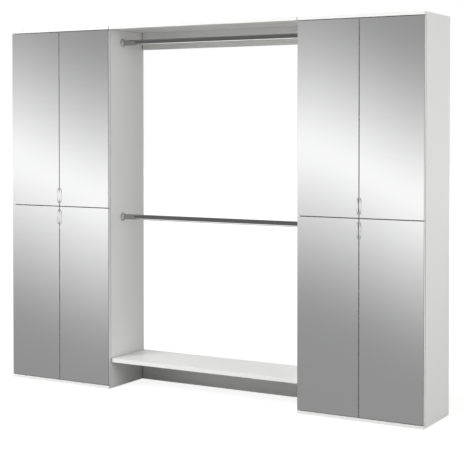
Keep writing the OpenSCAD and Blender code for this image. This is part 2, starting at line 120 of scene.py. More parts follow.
@dataclass
class Shell:
    """A closed surface: its points, and its faces as lists of point numbers, anticlockwise from outside."""

    points: np.ndarray
    faces: list[list[int]]

    def moved(self, offset: np.ndarray | Place) -> "Shell":
        """The same surface, moved by an offset in metres."""
        return Shell(self.points + np.asarray(offset), self.faces)

    def aimed(self, axis: Axis, forward: bool = True) -> "Shell":
        """The surface with its +X turned to an axis, and nothing turned inside out.

        Args:
            axis: the axis that +X is turned to.
            forward: False turns +X to its negative direction.

        Returns:
            The turned surface. Its Z stays up where the axis is X or Y.
        """
        sign = 1.0 if forward else -1.0
        turns = {
            Axis.X: [[sign, 0, 0], [0, sign, 0], [0, 0, 1]],
            Axis.Y: [[0, -sign, 0], [sign, 0, 0], [0, 0, 1]],
            Axis.Z: [[0, 0, -sign], [0, 1, 0], [sign, 0, 0]],
        }
        return Shell(self.points @ np.array(turns[axis], float).T, self.faces)


def joined(shells: list[Shell]) -> Shell:
    """Several surfaces as one.

    Args:
        shells: the surfaces, which stay separate shells.

    Returns:
        One surface with all their points and faces.
    """
    points = np.concatenate([shell.points for shell in shells])
    starts = np.cumsum([0] + [len(shell.points) for shell in shells[:-1]])
    faces = [[int(start) + i for i in face] for shell, start in zip(shells, starts) for face in shell.faces]
    return Shell(points, faces)


def round_circle(count: int) -> np.ndarray:
    """So many angles, evenly round a circle from 0."""
    return np.linspace(0.0, 2 * math.pi, count, endpoint=False)


def grid_faces(rows: int, columns: int, closed_rows: bool) -> list[list[int]]:
    """Quads between the points of a stack of rings.

    Args:
        rows: number of rings.
        columns: points in a ring.
        closed_rows: True also joins the last ring to the first.

    Returns:
        Point numbers of each quad: i, the next in the ring, and the two above them.
    """
    row, column = np.meshgrid(np.arange(rows if closed_rows else rows - 1), np.arange(columns), indexing="ij")
    own, above = row * columns, (row + 1) % rows * columns
    after = (column + 1) % columns
    return np.stack([own + column, own + after, above + after, above + column], -1).reshape(-1, 4).tolist()


def ringed(rings: np.ndarray, closed: bool = False) -> Shell:
    """A closed surface through a stack of rings.

    Args:
        rings: (rows, columns, 3) points, each ring anticlockwise seen from the last ring's side.
        closed: True joins the last ring to the first, False caps both flat.

    Returns:
        The surface.
    """
    rows, columns = rings.shape[:2]
    faces = grid_faces(rows, columns, closed)
    if not closed:
        faces.append(list(range(columns))[::-1])
        faces.append(list(range((rows - 1) * columns, rows * columns)))
    return Shell(rings.reshape(-1, 3), faces)


def turned(
    radius: list[float], reach: list[float], stretch: list[float] | float = 0.0, sectors: int = 32, closed: bool = False
) -> Shell:
    """A turned piece whose upper and lower halves may be drawn apart, which makes an upright oval.

    The point of ring i at angle a is (reach_i, r_i cos a, r_i sin a). The half with a positive sine moves up by
    stretch_i and the other half down by it.

    Args:
        radius: radius of each ring.
        reach: place of each ring along X.
        stretch: half the straight middle of each ring, or of all.
        sectors: points round a ring.
        closed: True joins the last ring to the first, for a tube.

    Returns:
        The surface.
    """
    r, x = np.asarray(radius, float)[:, None], np.asarray(reach, float)[:, None]
    middle = np.broadcast_to(np.asarray(stretch, float).reshape(-1, 1), r.shape)
    angle, lift = round_circle(sectors), 0.0
    if np.any(middle > 0):
        half = np.linspace(0.0, math.pi, sectors // 2 + 1)
        angle, lift = np.concatenate([half, half + math.pi]), np.repeat([1.0, -1.0], len(half))
    return ringed(np.stack([x + 0 * angle, r * np.cos(angle), r * np.sin(angle) + middle * lift], -1), closed)


def rounded(radius: float, start: float, end: float, arris: float, steps: int = 3) -> tuple[list[float], list[float]]:
    """The profile of a rod with a quarter-round at both ends.

    Args:
        radius: radius of the rod.
        start: place of the first end.
        end: place of the other end.
        arris: radius of the quarter-rounds.
        steps: points on each quarter-round.

    Returns:
        The radii and the places along the axis, for turned().
    """
    angle = np.linspace(0.0, math.pi / 2, steps)
    rise = radius - arris + arris * np.sin(angle)
    near = start + arris - arris * np.cos(angle)
    far = end - arris + arris * np.cos(angle)
    return [*rise, *rise[::-1]], [*near, *far[::-1]]


def swept_bow(half: float, rise: float, foot: float, thick: np.ndarray, sectors: int = 20) -> Shell:
    """A bar bent in the YZ plane, nearly straight in its middle and curving down at its ends.

    The centre line is z = half s, y = -(foot + rise (1 - s^4)) for s from -1 to 1. Each ring is a circle of its
    own thickness, square to the line's slope dy/ds = 4 rise s^3 over dz/ds = half.

    Args:
        half: half the distance between the ends.
        rise: height of the middle over the ends.
        foot: how far the ends stand in front of the origin.
        thick: radius of each ring.
        sectors: points round a ring.

    Returns:
        The bar, bulging towards -Y.
    """
    s, around = np.linspace(-1, 1, len(thick))[:, None], round_circle(sectors)[None, :]
    slope = np.arctan2(4 * rise * s**3, half)
    outward = thick[:, None] * np.cos(around)
    x = thick[:, None] * np.sin(around) + 0 * s
    y = -(foot + rise * (1 - s**4)) - outward * np.cos(slope)
    z = half * s + outward * np.sin(slope)
    return ringed(np.stack([x, y, z], -1))


def cross_head(radius: float, height: float, slot: float = 0.28, depth: float = 0.55, droop: float = 0.35) -> Shell:
    """A low domed screw head with a cross recess, standing on x = 0 and facing +X.

    The top is a disc of points at radius r and angle a, at x = height (1 - droop (r/R)^4). It is sunk by depth
    times height where the point lies inside two thirds of R and within half a slot's width of an arm of the cross.

    Args:
        radius: radius of the head, R.
        height: height of the head.
        slot: width of the cross's arms, as a share of the radius.
        depth: depth of the recess, as a share of the height.
        droop: how far the rim lies below the middle, as a share of the height.

    Returns:
        The head with a flat underside.
    """
    share = np.array([1.0, 0.96, 0.85, 0.7, 0.62, 0.5, 0.36, 0.28, 0.14])[:, None]
    angle = round_circle(32)[None, :]
    y, z = share * np.cos(angle), share * np.sin(angle)
    arm = np.minimum(np.abs(y), np.abs(z)) < slot / 2
    x = height * (1 - droop * share**4 - depth * arm * (share < 0.66))
    top = np.stack([x, radius * y, radius * z], -1)
    base = top[:1] * np.array([0.0, 1.0, 1.0])
    return ringed(np.concatenate([base, top]))


def fluted_dowel(radius: float, length: float, flutes: int = 12, depth: float = 0.05) -> Shell:
    """A wooden dowel along X with flutes round it and a chamfer at each end.

    The radius at angle a is R (1 - depth (1 + cos(n a)) / 2), with n flutes, and it is a fifth less at the ends.

    Args:
        radius: outer radius, R.
        length: length.
        flutes: number of flutes.
        depth: depth of a flute, as a share of the radius.

    Returns:
        The dowel, centred on the origin.
    """
    angle = round_circle(4 * flutes)[None, :]
    ends = length / 2 * np.array([-1.0, -0.92, 0.92, 1.0])[:, None]
    share = np.array([0.8, 1.0, 1.0, 0.8])[:, None]
    r = radius * share * (1 - depth * (1 + np.cos(flutes * angle)) / 2)
    return ringed(np.stack([ends + 0 * angle, r * np.cos(angle), r * np.sin(angle)], -1))


# Reading the frame


def values_of(rows: bpy.types.bpy_prop_collection, name: str, width: int, kind: type) -> np.ndarray:
    """One property of all points or edges of a mesh.

    Args:
        rows: the points or edges.
        name: name of the property.
        width: how many numbers it has.
        kind: their type.

    Returns:
        The numbers, as an (n, width) array.
    """
    values = np.empty(len(rows) * width, kind)
    rows.foreach_get(name, values)
    return values.reshape(-1, width)


def edge_ends(mesh: Mesh) -> np.ndarray:
    """The numbers of the points at the two ends of every edge, as a (2, n) array."""
    return values_of(mesh.edges, "vertices", 2, int).T


def islands(mesh: Mesh) -> np.ndarray:
    """Numbers the separate solids of a merged mesh.

    Every point starts with its own number, and each edge passes the lower number on until none changes.

    Args:
        mesh: a mesh whose doubles are merged.

    Returns:
        For each point, the lowest point number in its solid.
    """
    first, second = edge_ends(mesh)
    label = np.arange(len(mesh.vertices))
    while True:
        lower = label.copy()
        np.minimum.at(lower, first, label[second])
        np.minimum.at(lower, second, label[first])
        lower = lower[lower]
        if np.array_equal(lower, label):
            return label
        label = lower


def points_of(mesh: Mesh) -> np.ndarray:
    """The points of a mesh as an (n, 3) array."""
    return values_of(mesh.vertices, "co", 3, float)


def corners_of(node: str) -> tuple[np.ndarray, np.ndarray]:
    """The lowest and highest corner of a CAD node at rest."""
    low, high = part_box(node)
    return np.array(low), np.array(high)


def merged_copy(node: str) -> Mesh:
    """A copy of a CAD node's mesh with its loose triangles merged at their corners.

    Args:
        node: name of the node.

    Returns:
        A new mesh. The node's own mesh isn't touched.
    """
    mesh = frame["nodes"][node].data.copy()
    mesh.materials.clear()
    work = bmesh.new()
    work.from_mesh(mesh)
    bmesh.ops.remove_doubles(work, verts=work.verts, dist=1e-6)
    bmesh.ops.dissolve_degenerate(work, edges=work.edges, dist=1e-7)
    work.to_mesh(mesh)
    work.free()
    return mesh


@dataclass(frozen=True)
class Solid:
    """The box of one solid of a CAD node, and whether the solid is thicker at its high end along X, Y or Z."""

    low: np.ndarray
    high: np.ndarray
    long_axis: Axis
    head_high: bool

    @property
    def middle(self) -> np.ndarray:
        """The middle of the box."""
        return (self.low + self.high) / 2

    @property
    def size(self) -> np.ndarray:
        """The sizes of the box."""
        return self.high - self.low

    def side(self, axis: Axis, high: bool) -> np.ndarray:
        """The middle of the box's low or high side along an axis."""
        return np.where(np.arange(3) == axis.value, self.high if high else self.low, self.middle)


def solids_of(node: str, axis: Axis | None = None) -> list[Solid]:
    """The boxes of a CAD node's solids.

    Args:
        node: name of the node.
        axis: the axis to look along for the thicker end, or None for the longest side of each box.

    Returns:
        One entry for each solid.
    """
    mesh = merged_copy(node)
    label, points = islands(mesh), points_of(mesh)
    bpy.data.meshes.remove(mesh)
    found = []
    for number in np.unique(label):
        own = points[label == number]
        low, high = own.min(0), own.max(0)
        way = axis or Axis(int(np.argmax(high - low)))
        across = np.delete(own - (low + high) / 2, way.value, axis=1)
        spread = np.hypot(*across.T)
        near_high = own[:, way.value] > (low + high)[way.value] / 2
        head_high = spread[near_high].max() > spread[~near_high].max()
        found.append(Solid(low, high, way, bool(head_high)))
    return found


# Node trees


class Tree:
    """Adds nodes to one node tree and wires them."""

    def __init__(self, tree: bpy.types.NodeTree) -> None:
        """Keeps the tree to work on."""
        self.tree = tree

    def feed(self, socket: Socket, value: object) -> None:
        """Gives an input a plain value, or links another node's output to it.

        Args:
            socket: the input.
            value: the value, or the other node's output.
        """
        if isinstance(value, bpy.types.NodeSocket):
            self.tree.links.new(value, socket)
        else:
            socket.default_value = value

    def add(self, kind: str, inputs: dict[str | int, object] | None = None, **settings: object) -> bpy.types.Node:
        """Adds a node.

        Args:
            kind: the node's type.
            inputs: values or sockets for its inputs, by name or number.
            **settings: the node's own properties.

        Returns:
            The new node.
        """
        node = self.tree.nodes.new(kind)
        for name, value in settings.items():
            setattr(node, name, value)
        for key, value in (inputs or {}).items():
            self.feed(node.inputs[key], value)
        return node

    def math(self, operation: str, *values: object, clamp: bool = False) -> Socket:
        """The result of a Math node on one to three values or sockets."""
        inputs = dict(enumerate(values))
        return self.add("ShaderNodeMath", inputs, operation=operation, use_clamp=clamp).outputs[0]

    def scaled(self, vector: Socket, factor: object) -> Socket:
        """A vector times a factor.

        Args:
            vector: the vector.
            factor: a number or a socket, or three numbers for X, Y and Z.

        Returns:
            The product.
        """
        if isinstance(factor, tuple):
            node = self.add("ShaderNodeVectorMath", {0: vector, 1: factor}, operation="MULTIPLY")
        else:
            node = self.add("ShaderNodeVectorMath", {0: vector, "Scale": factor}, operation="SCALE")
        return node.outputs[0]

    def noise(self, vector: Socket, scale: object, detail: float = 2.0, rough: float = 0.5) -> Socket:
        """Noise from 0 to 1 with so many cells a metre."""
        inputs = {"Vector": vector, "Scale": scale, "Detail": detail, "Roughness": rough}
        return self.add("ShaderNodeTexNoise", inputs).outputs[0]

    def ranged(self, value: Socket, low: float, high: float, to_low: object, to_high: object) -> Socket:
        """A value moved smoothly from one range to another and held at its ends."""
        inputs = {0: value, 1: low, 2: high, 3: to_low, 4: to_high}
        return self.add("ShaderNodeMapRange", inputs, interpolation_type="SMOOTHSTEP").outputs[0]

    def mixed(self, share: object, first: object, second: object) -> Socket:
        """A colour between two colours, each a socket or three numbers.

        Args:
            share: 0 for the first colour, 1 for the second.
            first: the first colour.
            second: the second colour.

        Returns:
            The colour.
        """
        node = self.add("ShaderNodeMix", data_type="RGBA")
        for number, value in zip((0, 6, 7), (share, first, second)):
            self.feed(node.inputs[number], (*value, 1.0) if isinstance(value, tuple) else value)
        return node.outputs[2]

    def blended(self, share: object, first: bpy.types.Node, second: bpy.types.Node) -> bpy.types.Node:
        """A shader between two shaders."""
        return self.add("ShaderNodeMixShader", {0: share, 1: first.outputs[0], 2: second.outputs[0]})

    def show(self, shader: bpy.types.Node, output: str = "ShaderNodeOutputMaterial") -> None:
        """Makes a shader the tree's result."""
        self.add(output, {"Surface": shader.outputs[0]})

    def group(self, effect: "Effect", inputs: dict[str, object]) -> bpy.types.Node:
        """Places a shared effect.

        Args:
            effect: the effect.
            inputs: values or sockets for the group's inputs.

        Returns:
            The group node.
        """
        return self.add("ShaderNodeGroup", inputs, node_tree=effect.tree())


def bare_tree(owner: bpy.types.Material | bpy.types.World) -> Tree:
    """Empties the node tree of a new material or world.

    Args:
        owner: the material or world.

    Returns:
        Its tree, to work on.
    """
    owner.use_nodes = True
    owner.node_tree.nodes.clear()
    return Tree(owner.node_tree)


class Effect:
    """A surface effect that several materials share, as a node group that is made once."""

    name = "effect"
    inputs: dict[str, str] = {"Place": "NodeSocketVector"}
    outputs: tuple[str, ...] = ()

    def tree(self) -> bpy.types.NodeTree:
        """The node group, made when it is first asked for.

        Returns:
            The group's tree.
        """
        made = bpy.data.node_groups.get(self.name)
        if made:
            return made
        made = bpy.data.node_groups.new(self.name, "ShaderNodeTree")
        for name, kind in self.inputs.items():
            made.interface.new_socket(name=name, in_out="INPUT", socket_type=kind)
        for name in self.outputs:
            made.interface.new_socket(name=name, in_out="OUTPUT", socket_type="NodeSocketFloat")
        source, sink = made.nodes.new("NodeGroupInput"), made.nodes.new("NodeGroupOutput")
        for name, result in self.wire(Tree(made), source.outputs).items():
            made.links.new(result, sink.inputs[name])
        return made

    def wire(self, tree: Tree, given: Given) -> dict[str, Socket]:
        """Builds the effect's nodes.

        Args:
            tree: the group's tree.
            given: the group's inputs, by name.

        Returns:
            The socket behind each named output.
        """
        raise NotImplementedError


class Pebble(Effect):
    """The fine pebbled skin of a foil, paint or moulding: low rounded bumps with a few flecks."""

    name = "pebble"
    inputs = {"Place": "NodeSocketVector", "Cells": "NodeSocketFloat"}
    outputs = ("Height", "Fleck")

    def wire(self, tree: Tree, given: Given) -> dict[str, Socket]:
        """Smooth cells under a finer noise.

        Args:
            tree: the group's tree.
            given: the group's inputs, by name.

        Returns:
            The socket behind each named output.
        """
        place = tree.scaled(given["Place"], given["Cells"])
        inputs = {"Vector": place, "Scale": 1.0, "Smoothness": 0.6}
        cells = tree.add("ShaderNodeTexVoronoi", inputs, feature="SMOOTH_F1")
        fine = tree.noise(place, 2.3, 2.0, 0.6)
        height = tree.math("MULTIPLY_ADD", cells.outputs[0], 0.7, tree.math("MULTIPLY", fine, 0.3))
        return {"Height": height, "Fleck": tree.ranged(tree.noise(place, 0.35, 3.0), 0.62, 0.75, 0.0, 1.0)}


class Handling(Effect):
    """Marks of wiping and handling: broad cloudy patches with faint streaks in them."""

    name = "handling"
    inputs = {"Place": "NodeSocketVector", "Size": "NodeSocketFloat"}
    outputs = ("Mark",)

    def wire(self, tree: Tree, given: Given) -> dict[str, Socket]:
        """Broad noise times streaks drawn out along X.

        Args:
            tree: the group's tree.
            given: the group's inputs, by name.

        Returns:
            The socket behind each named output.
        """
        per_metre = tree.math("DIVIDE", 1.0, given["Size"])
        place = tree.scaled(given["Place"], per_metre)
        cloud = tree.ranged(tree.noise(place, 1.0, 3.0, 0.55), 0.35, 0.75, 0.0, 1.0)
        streak = tree.ranged(tree.noise(tree.scaled(place, (2.0, 2.0, 14.0)), 1.0, 2.0), 0.4, 0.7, 0.3, 1.0)
        return {"Mark": tree.math("MULTIPLY", cloud, streak)}


class Dust(Effect):
    """Dust that settles on what faces up."""

    name = "dust"
    outputs = ("Mask",)

    def wire(self, tree: Tree, given: Given) -> dict[str, Socket]:
        """The upward share of the normal times a patchy noise.

        Args:
            tree: the group's tree.
            given: the group's inputs, by name.

        Returns:
            The socket behind each named output.
        """
        normal = tree.add("ShaderNodeNewGeometry").outputs["Normal"]
        up = tree.add("ShaderNodeSeparateXYZ", {0: normal}).outputs["Z"]
        flat = tree.ranged(up, 0.55, 1.0, 0.0, 1.0)
        patch = tree.ranged(tree.noise(given["Place"], 9.0, 4.0, 0.6), 0.3, 0.7, 0.25, 1.0)
        speck = tree.ranged(tree.noise(given["Place"], 900.0, 1.0), 0.55, 0.8, 0.4, 1.0)
        return {"Mask": tree.math("MULTIPLY", flat, tree.math("MULTIPLY", patch, speck))}


class Drawn(Effect):
    """Fine lines left by drawing, rolling or growing along one axis."""

    name = "drawn_lines"
    inputs = {"Place": "NodeSocketVector", "Across": "NodeSocketVector"}
    outputs = ("Line",)

    def wire(self, tree: Tree, given: Given) -> dict[str, Socket]:
        """Noise squeezed by the cells a metre along each axis.

        Args:
            tree: the group's tree.
            given: the group's inputs, by name.

        Returns:
            The socket behind each named output.
        """
        place = tree.add("ShaderNodeVectorMath", {0: given["Place"], 1: given["Across"]}, operation="MULTIPLY")
        return {"Line": tree.noise(place.outputs[0], 1.0, 3.0, 0.6)}


PEBBLE, HANDLING, DUST, DRAWN = Pebble(), Handling(), Dust(), Drawn()


# Finishes


class Coat(Tree):
    """The nodes of one finish's material, and what they read and feed."""

    def __init__(self, material: bpy.types.Material, finish: "Finish") -> None:
        """Keeps the finish, the inputs of the Principled shader, and the Object coordinates in metres.

        Args:
            material: a new material with its Principled shader.
            finish: its finish.
        """
        super().__init__(material.node_tree)
        self.finish = finish
        self.surface = material.node_tree.nodes["Principled BSDF"].inputs
        self.place = self.add("ShaderNodeTexCoord").outputs["Object"]

    def effect(self, effect: Effect, output: str, **inputs: object) -> Socket:
        """One output of a shared effect on this surface."""
        return self.group(effect, {"Place": self.place, **inputs}).outputs[output]

    def plain(self, **values: float) -> None:
        """Sets inputs of the shader that are the same all over. An underscore stands for a space in their names."""
        for name, value in values.items():
            self.surface[name.replace("_", " ")].default_value = value

    def tint(self, mask: Socket, other: Colour | float) -> None:
        """Turns the colour to another, or to so much of itself, where the mask is full."""
        full = other if isinstance(other, tuple) else tuple(c * other for c in self.finish.colour)
        self.feed(self.surface["Base Color"], self.mixed(mask, self.finish.colour, full))

    def roughen(self, *changes: tuple[Socket, float]) -> None:
        """Changes the finish's roughness where masks are full.

        Args:
            *changes: each mask with what it adds.
        """
        rough = self.finish.roughness
        for mask, change in changes:
            rough = self.math("MULTIPLY_ADD", mask, change, rough, clamp=True)
        self.feed(self.surface["Roughness"], rough)

    def bump(self, height: Socket, strength: float, depth: float) -> None:
        """Feeds a height to the shader's normal, with a depth in metres."""
        bump = self.add("ShaderNodeBump", {"Height": height, "Strength": strength, "Distance": depth})
        self.feed(self.surface["Normal"], bump.outputs[0])


@dataclass(frozen=True)
class Finish:
    """A finish: its plain numbers, and in its subclasses the nodes for what varies over the surface."""

    name: str
    colour: Colour
    roughness: float
    metallic: float = 0.0

    def material(self) -> bpy.types.Material:
        """The Blender material, made when it is first asked for.

        Returns:
            The material.
        """
        made = bpy.data.materials.get(self.name)
        if not made:
            made = bpy.data.materials.new(self.name)
            made.use_nodes = True
            coat = Coat(made, self)
            coat.surface["Base Color"].default_value = (*self.colour, 1.0)
            coat.plain(Roughness=self.roughness, Metallic=self.metallic)
            self.dress(coat)
        return made

    def dress(self, coat: Coat) -> None:
        """Wires what varies over the surface.

        Args:
            coat: the nodes of the material.
        """
        raise NotImplementedError


@dataclass(frozen=True)
class Melamine(Finish):
    """White melamine foil on board: a fine pearl texture, faint clouds and a little dust on top."""

    cells: float = 900.0
    relief: float = 0.06 * MM
    cloud: float = 0.015
    dusty: Colour = (0.80, 0.79, 0.77)
    dust: float = 0.10

    def shade(self, coat: Coat) -> Socket:
        """The foil's white with faint clouds and a little dust on top.

        Args:
            coat: the nodes of the material.

        Returns:
            The colour.
        """
        cloudy = tuple(c * (1 - self.cloud) for c in self.colour)
        cloud = coat.ranged(coat.noise(coat.place, 2.4, 3.0), 0.3, 0.7, 0.0, 1.0)
        dust = coat.math("MULTIPLY", coat.effect(DUST, "Mask"), self.dust)
        return coat.mixed(dust, coat.mixed(cloud, self.colour, cloudy), self.dusty)

    def dress(self, coat: Coat) -> None:
        """Clouds and dust in the colour, flecks and marks in the gloss, pearl bumps.

        Args:
            coat: the nodes of the material.
        """
        coat.feed(coat.surface["Base Color"], self.shade(coat))
        pearl = coat.group(PEBBLE, {"Place": coat.place, "Cells": self.cells}).outputs
        coat.roughen((coat.effect(HANDLING, "Mark", Size=0.35), -0.07), (pearl["Fleck"], 0.06))
        coat.bump(pearl["Height"], 0.5, self.relief)


@dataclass(frozen=True)
class ButtedMelamine(Melamine):
    """The melamine of the bay's boards, whose ends butt against the cabinets, darkened near the joints by painted
    shade.
    """

    half_bay: float = 600 * MM
    # painted shade at the joints: how far it reaches from each end, its colour, and how much of it is mixed in
    joint_shade: float = 8 * MM
    joint_shade_colour: Colour = (0.10, 0.098, 0.095)
    depth: float = 0.95

    def shade(self, coat: Coat) -> Socket:
        """The foil's colour, darkened by painted shade within a short width of either end, where the board meets a
        cabinet.

        Args:
            coat: the nodes of the material.

        Returns:
            The colour.
        """
        across = coat.math("ABSOLUTE", coat.add("ShaderNodeSeparateXYZ", {0: coat.place}).outputs[0])
        to_end = coat.math("ABSOLUTE", coat.math("SUBTRACT", across, self.half_bay))
        # painted shade, full at the board's end and gone at the shade's width
        joint_shade = coat.ranged(to_end, 0.0, self.joint_shade, self.depth, 0.0)
        return coat.mixed(joint_shade, super().shade(coat), self.joint_shade_colour)


@dataclass(frozen=True)
class Chipboard(Finish):
    """The raw core of a board where it is bored or grooved: pressed chips of several browns."""

    chip: Place = (420.0, 300.0, 650.0)
    dark: Colour = (0.33, 0.22, 0.12)

    def dress(self, coat: Coat) -> None:
        """Long cells for the chips, in two browns and as a coarse bump.

        Args:
            coat: the nodes of the material.
        """
        cells = {"Vector": coat.scaled(coat.place, self.chip), "Scale": 1.0}
        chips = coat.add("ShaderNodeTexVoronoi", cells).outputs
        coat.tint(coat.add("ShaderNodeSeparateXYZ", {0: chips["Color"]}).outputs[0], self.dark)
        coat.bump(coat.math("ADD", coat.noise(coat.place, 1500.0, 3.0, 0.65), chips["Distance"]), 0.7, 0.4 * MM)


@dataclass(frozen=True)
class Hardboard(Finish):
    """The brown rear face of a thin back panel: pressed fibres with darker wisps and a fine mesh print."""

    wisps: Place = (160.0, 160.0, 60.0)
    dark: Colour = (0.30, 0.20, 0.12)

    def dress(self, coat: Coat) -> None:
        """Clouds and wisps in the colour and a mesh of fine bumps.

        Args:
            coat: the nodes of the material.
        """
        cloud = coat.noise(coat.place, 14.0, 5.0, 0.65)
        wisp = coat.ranged(coat.noise(coat.scaled(coat.place, self.wisps), 1.0, 4.0, 0.7), 0.45, 0.75, 0.0, 1.0)
        coat.tint(coat.math("MULTIPLY_ADD", cloud, 0.45, coat.math("MULTIPLY", wisp, 0.35), clamp=True), self.dark)
        coat.roughen((wisp, 0.1))
        coat.bump(coat.effect(PEBBLE, "Height", Cells=600.0), 0.6, 0.2 * MM)


@dataclass(frozen=True)
class Mirror(Finish):
    """Silvered glass: the silver's reflection under a clear coat, with traces of wiping."""

    smear: float = 0.015
    haze: float = 0.985

    def dress(self, coat: Coat) -> None:
        """Traces of wiping in the gloss and the tint.

        Args:
            coat: the nodes of the material.
        """
        coat.plain(Coat_Weight=0.6, Coat_Roughness=0.0, Coat_IOR=1.5)
        mark = coat.effect(HANDLING, "Mark", Size=0.5)
        coat.roughen((mark, self.smear))
        coat.tint(mark, self.haze)


@dataclass(frozen=True)
class GlassEdge(Finish):
    """The polished edge of float glass: grey green with deeper clouds and fine grinding lines, its dark tone partly the
    glass's own and partly painted shade for the gaps between doors.
    """

    deep: Colour = (0.015, 0.026, 0.022)
    lines: Place = (3000.0, 3000.0, 90.0)

    def dress(self, coat: Coat) -> None:
        """Clouds of the deeper green and grinding lines in the gloss.

        Args:
            coat: the nodes of the material.
        """
        coat.plain(Coat_Weight=0.8, Coat_Roughness=0.05)
        coat.tint(coat.noise(coat.place, 60.0, 2.0), self.deep)
        coat.roughen((coat.effect(DRAWN, "Line", Across=self.lines), 0.12))


@dataclass(frozen=True)
class Plated(Finish):
    """Chrome or nickel on metal: drawing lines in the gloss, traces of handling and a little dust."""

    across: Place = (12.0, 1600.0, 1600.0)
    line: float = 0.05
    mark: float = 0.08
    dust: float = 0.10
    dulled: float = 0.93

    def dress(self, coat: Coat) -> None:
        """Lines, marks and dust in the gloss, marks in the colour, fine bumps.

        Args:
            coat: the nodes of the material.
        """
        lines = coat.effect(DRAWN, "Line", Across=self.across)
        mark = coat.effect(HANDLING, "Mark", Size=0.09)
        coat.roughen((mark, self.mark), (lines, self.line), (coat.effect(DUST, "Mask"), self.dust))
        coat.tint(mark, self.dulled)
        coat.bump(lines, 0.15, 0.02 * MM)


@dataclass(frozen=True)
class Beech(Finish):
    """Beech: pale pink brown with close grain and short dark flecks along the dowel."""

    dark: Colour = (0.47, 0.29, 0.15)
    grain: Place = (40.0, 900.0, 900.0)
    flecks: Place = (260.0, 2600.0, 2600.0)

    def dress(self, coat: Coat) -> None:
        """Grain along X in the colour and the bump.

        Args:
            coat: the nodes of the material.
        """
        grain, fleck = (coat.effect(DRAWN, "Line", Across=across) for across in (self.grain, self.flecks))
        dark = coat.ranged(fleck, 0.58, 0.72, 0.0, 0.8)
        share = coat.math("MAXIMUM", coat.ranged(grain, 0.35, 0.75, 0.0, 0.6), dark)
        coat.tint(share, self.dark)
        coat.roughen((share, 0.12))
        coat.bump(grain, 0.4, 0.1 * MM)


@dataclass(frozen=True)
class SoftPlastic(Finish):
    """Milky soft plastic, a little translucent and cloudy."""

    greyed: float = 0.94

    def dress(self, coat: Coat) -> None:
        """A milky inside, clouds in the colour and flecks in the gloss.

        Args:
            coat: the nodes of the material.
        """
        coat.plain(Subsurface_Weight=0.3, Subsurface_Scale=2 * MM)
        skin = coat.group(PEBBLE, {"Place": coat.place, "Cells": 1500.0}).outputs
        coat.tint(coat.noise(coat.place, 300.0, 2.0), self.greyed)
        coat.roughen((skin["Fleck"], 0.15))
        coat.bump(skin["Height"], 0.3, 0.05 * MM)


WHITE = Melamine("white_melamine", (0.860, 0.858, 0.850), 0.38)
# the bay's boards, with painted shade near their ends
BAY_WHITE = ButtedMelamine("bay_melamine", (0.860, 0.858, 0.850), 0.38)
PANEL_WHITE = Melamine("painted_hardboard", (0.845, 0.843, 0.832), 0.48, cells=600.0, relief=0.1 * MM)
CORE = Chipboard("raw_chipboard", (0.62, 0.47, 0.30), 0.85)
FIBRE = Hardboard("brown_hardboard", (0.50, 0.36, 0.23), 0.72)
SILVER = Mirror("silvered_glass", (0.94, 0.943, 0.943), 0.006, 1.0)
GLASS_EDGE = GlassEdge("glass_edge", (0.035, 0.052, 0.046), 0.12)
CHROME = Plated("bright_chrome", (0.88, 0.88, 0.88), 0.05, 1.0)
# the rails' chrome: a darker copy of the pulls' chrome, painted shade for the rails in the shaded bay
TUBE = Plated("dark_chrome", (0.38, 0.38, 0.38), 0.07, 1.0, dust=0.05)
CAST = Plated("cast_socket", (0.62, 0.62, 0.61), 0.16, 1.0, across=(900.0, 900.0, 900.0))
NICKEL = Plated("nickel_plate", (0.60, 0.59, 0.57), 0.24, 1.0, across=(500.0, 500.0, 60.0), line=0.12, mark=0.1)
BEECH = Beech("beech_wood", (0.68, 0.48, 0.29), 0.6)
SOFT = SoftPlastic("milky_plastic", (0.80, 0.80, 0.77), 0.35)


# Placing pieces


def placed(name: str, data: bpy.types.ID) -> Piece:
    """Puts a new object into the scene, at the origin.

    Args:
        name: its name.
        data: its mesh, camera or lamp.

    Returns:
        The object.
    """
    made = bpy.data.objects.new(name, data)
    bpy.context.scene.collection.objects.link(made)
    return made


def make_object(name: str, mesh: Mesh, finishes: list[Finish]) -> Piece:
    """Puts a mesh into the scene, shaded smooth up to sharp corners.

    Args:
        name: name of the object.
        mesh: its mesh, with the faces numbered by finish.
        finishes: the finishes, in that order.

    Returns:
        The object.
    """
    for finish in finishes:
        mesh.materials.append(finish.material())
    mesh.shade_smooth()
    mesh.set_sharp_from_angle(angle=SMOOTH_ANGLE)
    return placed(name, mesh)


def shell_object(name: str, shells: list[tuple[Shell, int]], finishes: list[Finish]) -> Piece:
    """An object made of surfaces.

    Args:
        name: name of the object.
        shells: the surfaces and their finishes' numbers.
        finishes: the finishes.

    Returns:
        The object.
    """
    whole = joined([shell for shell, _ in shells])
    mesh = bpy.data.meshes.new(name)
    mesh.from_pydata(whole.points.tolist(), [], whole.faces)
    numbers = np.concatenate([np.full(len(shell.faces), number) for shell, number in shells])
    mesh.polygons.foreach_set("material_index", numbers.astype(np.int32))
    mesh.update()
    return make_object(name, mesh, finishes)


def settle(piece: Piece, node: str, body: str) -> None:
    """Lets a piece stand for a CAD node and ride on its body.

    Args:
        piece: the finished piece.
        node: the CAD node.
        body: the body.
    """
    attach(piece, body)
    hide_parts(node)
    log.info("%s stands for %s on %s", piece.name, node, body)


def swap(node: str, suffix: str, shells: list[Shell], finish: Finish) -> None:
    """Lets surfaces stand for a node of the carcass.

    Args:
        node: the CAD node.
        suffix: what the piece's name adds to the node's.
        shells: the surfaces.
        finish: their finish.
    """
    piece = shell_object(f"{node}_{suffix}", [(shell, 0) for shell in shells], [finish])
    settle(piece, node, "carcass")


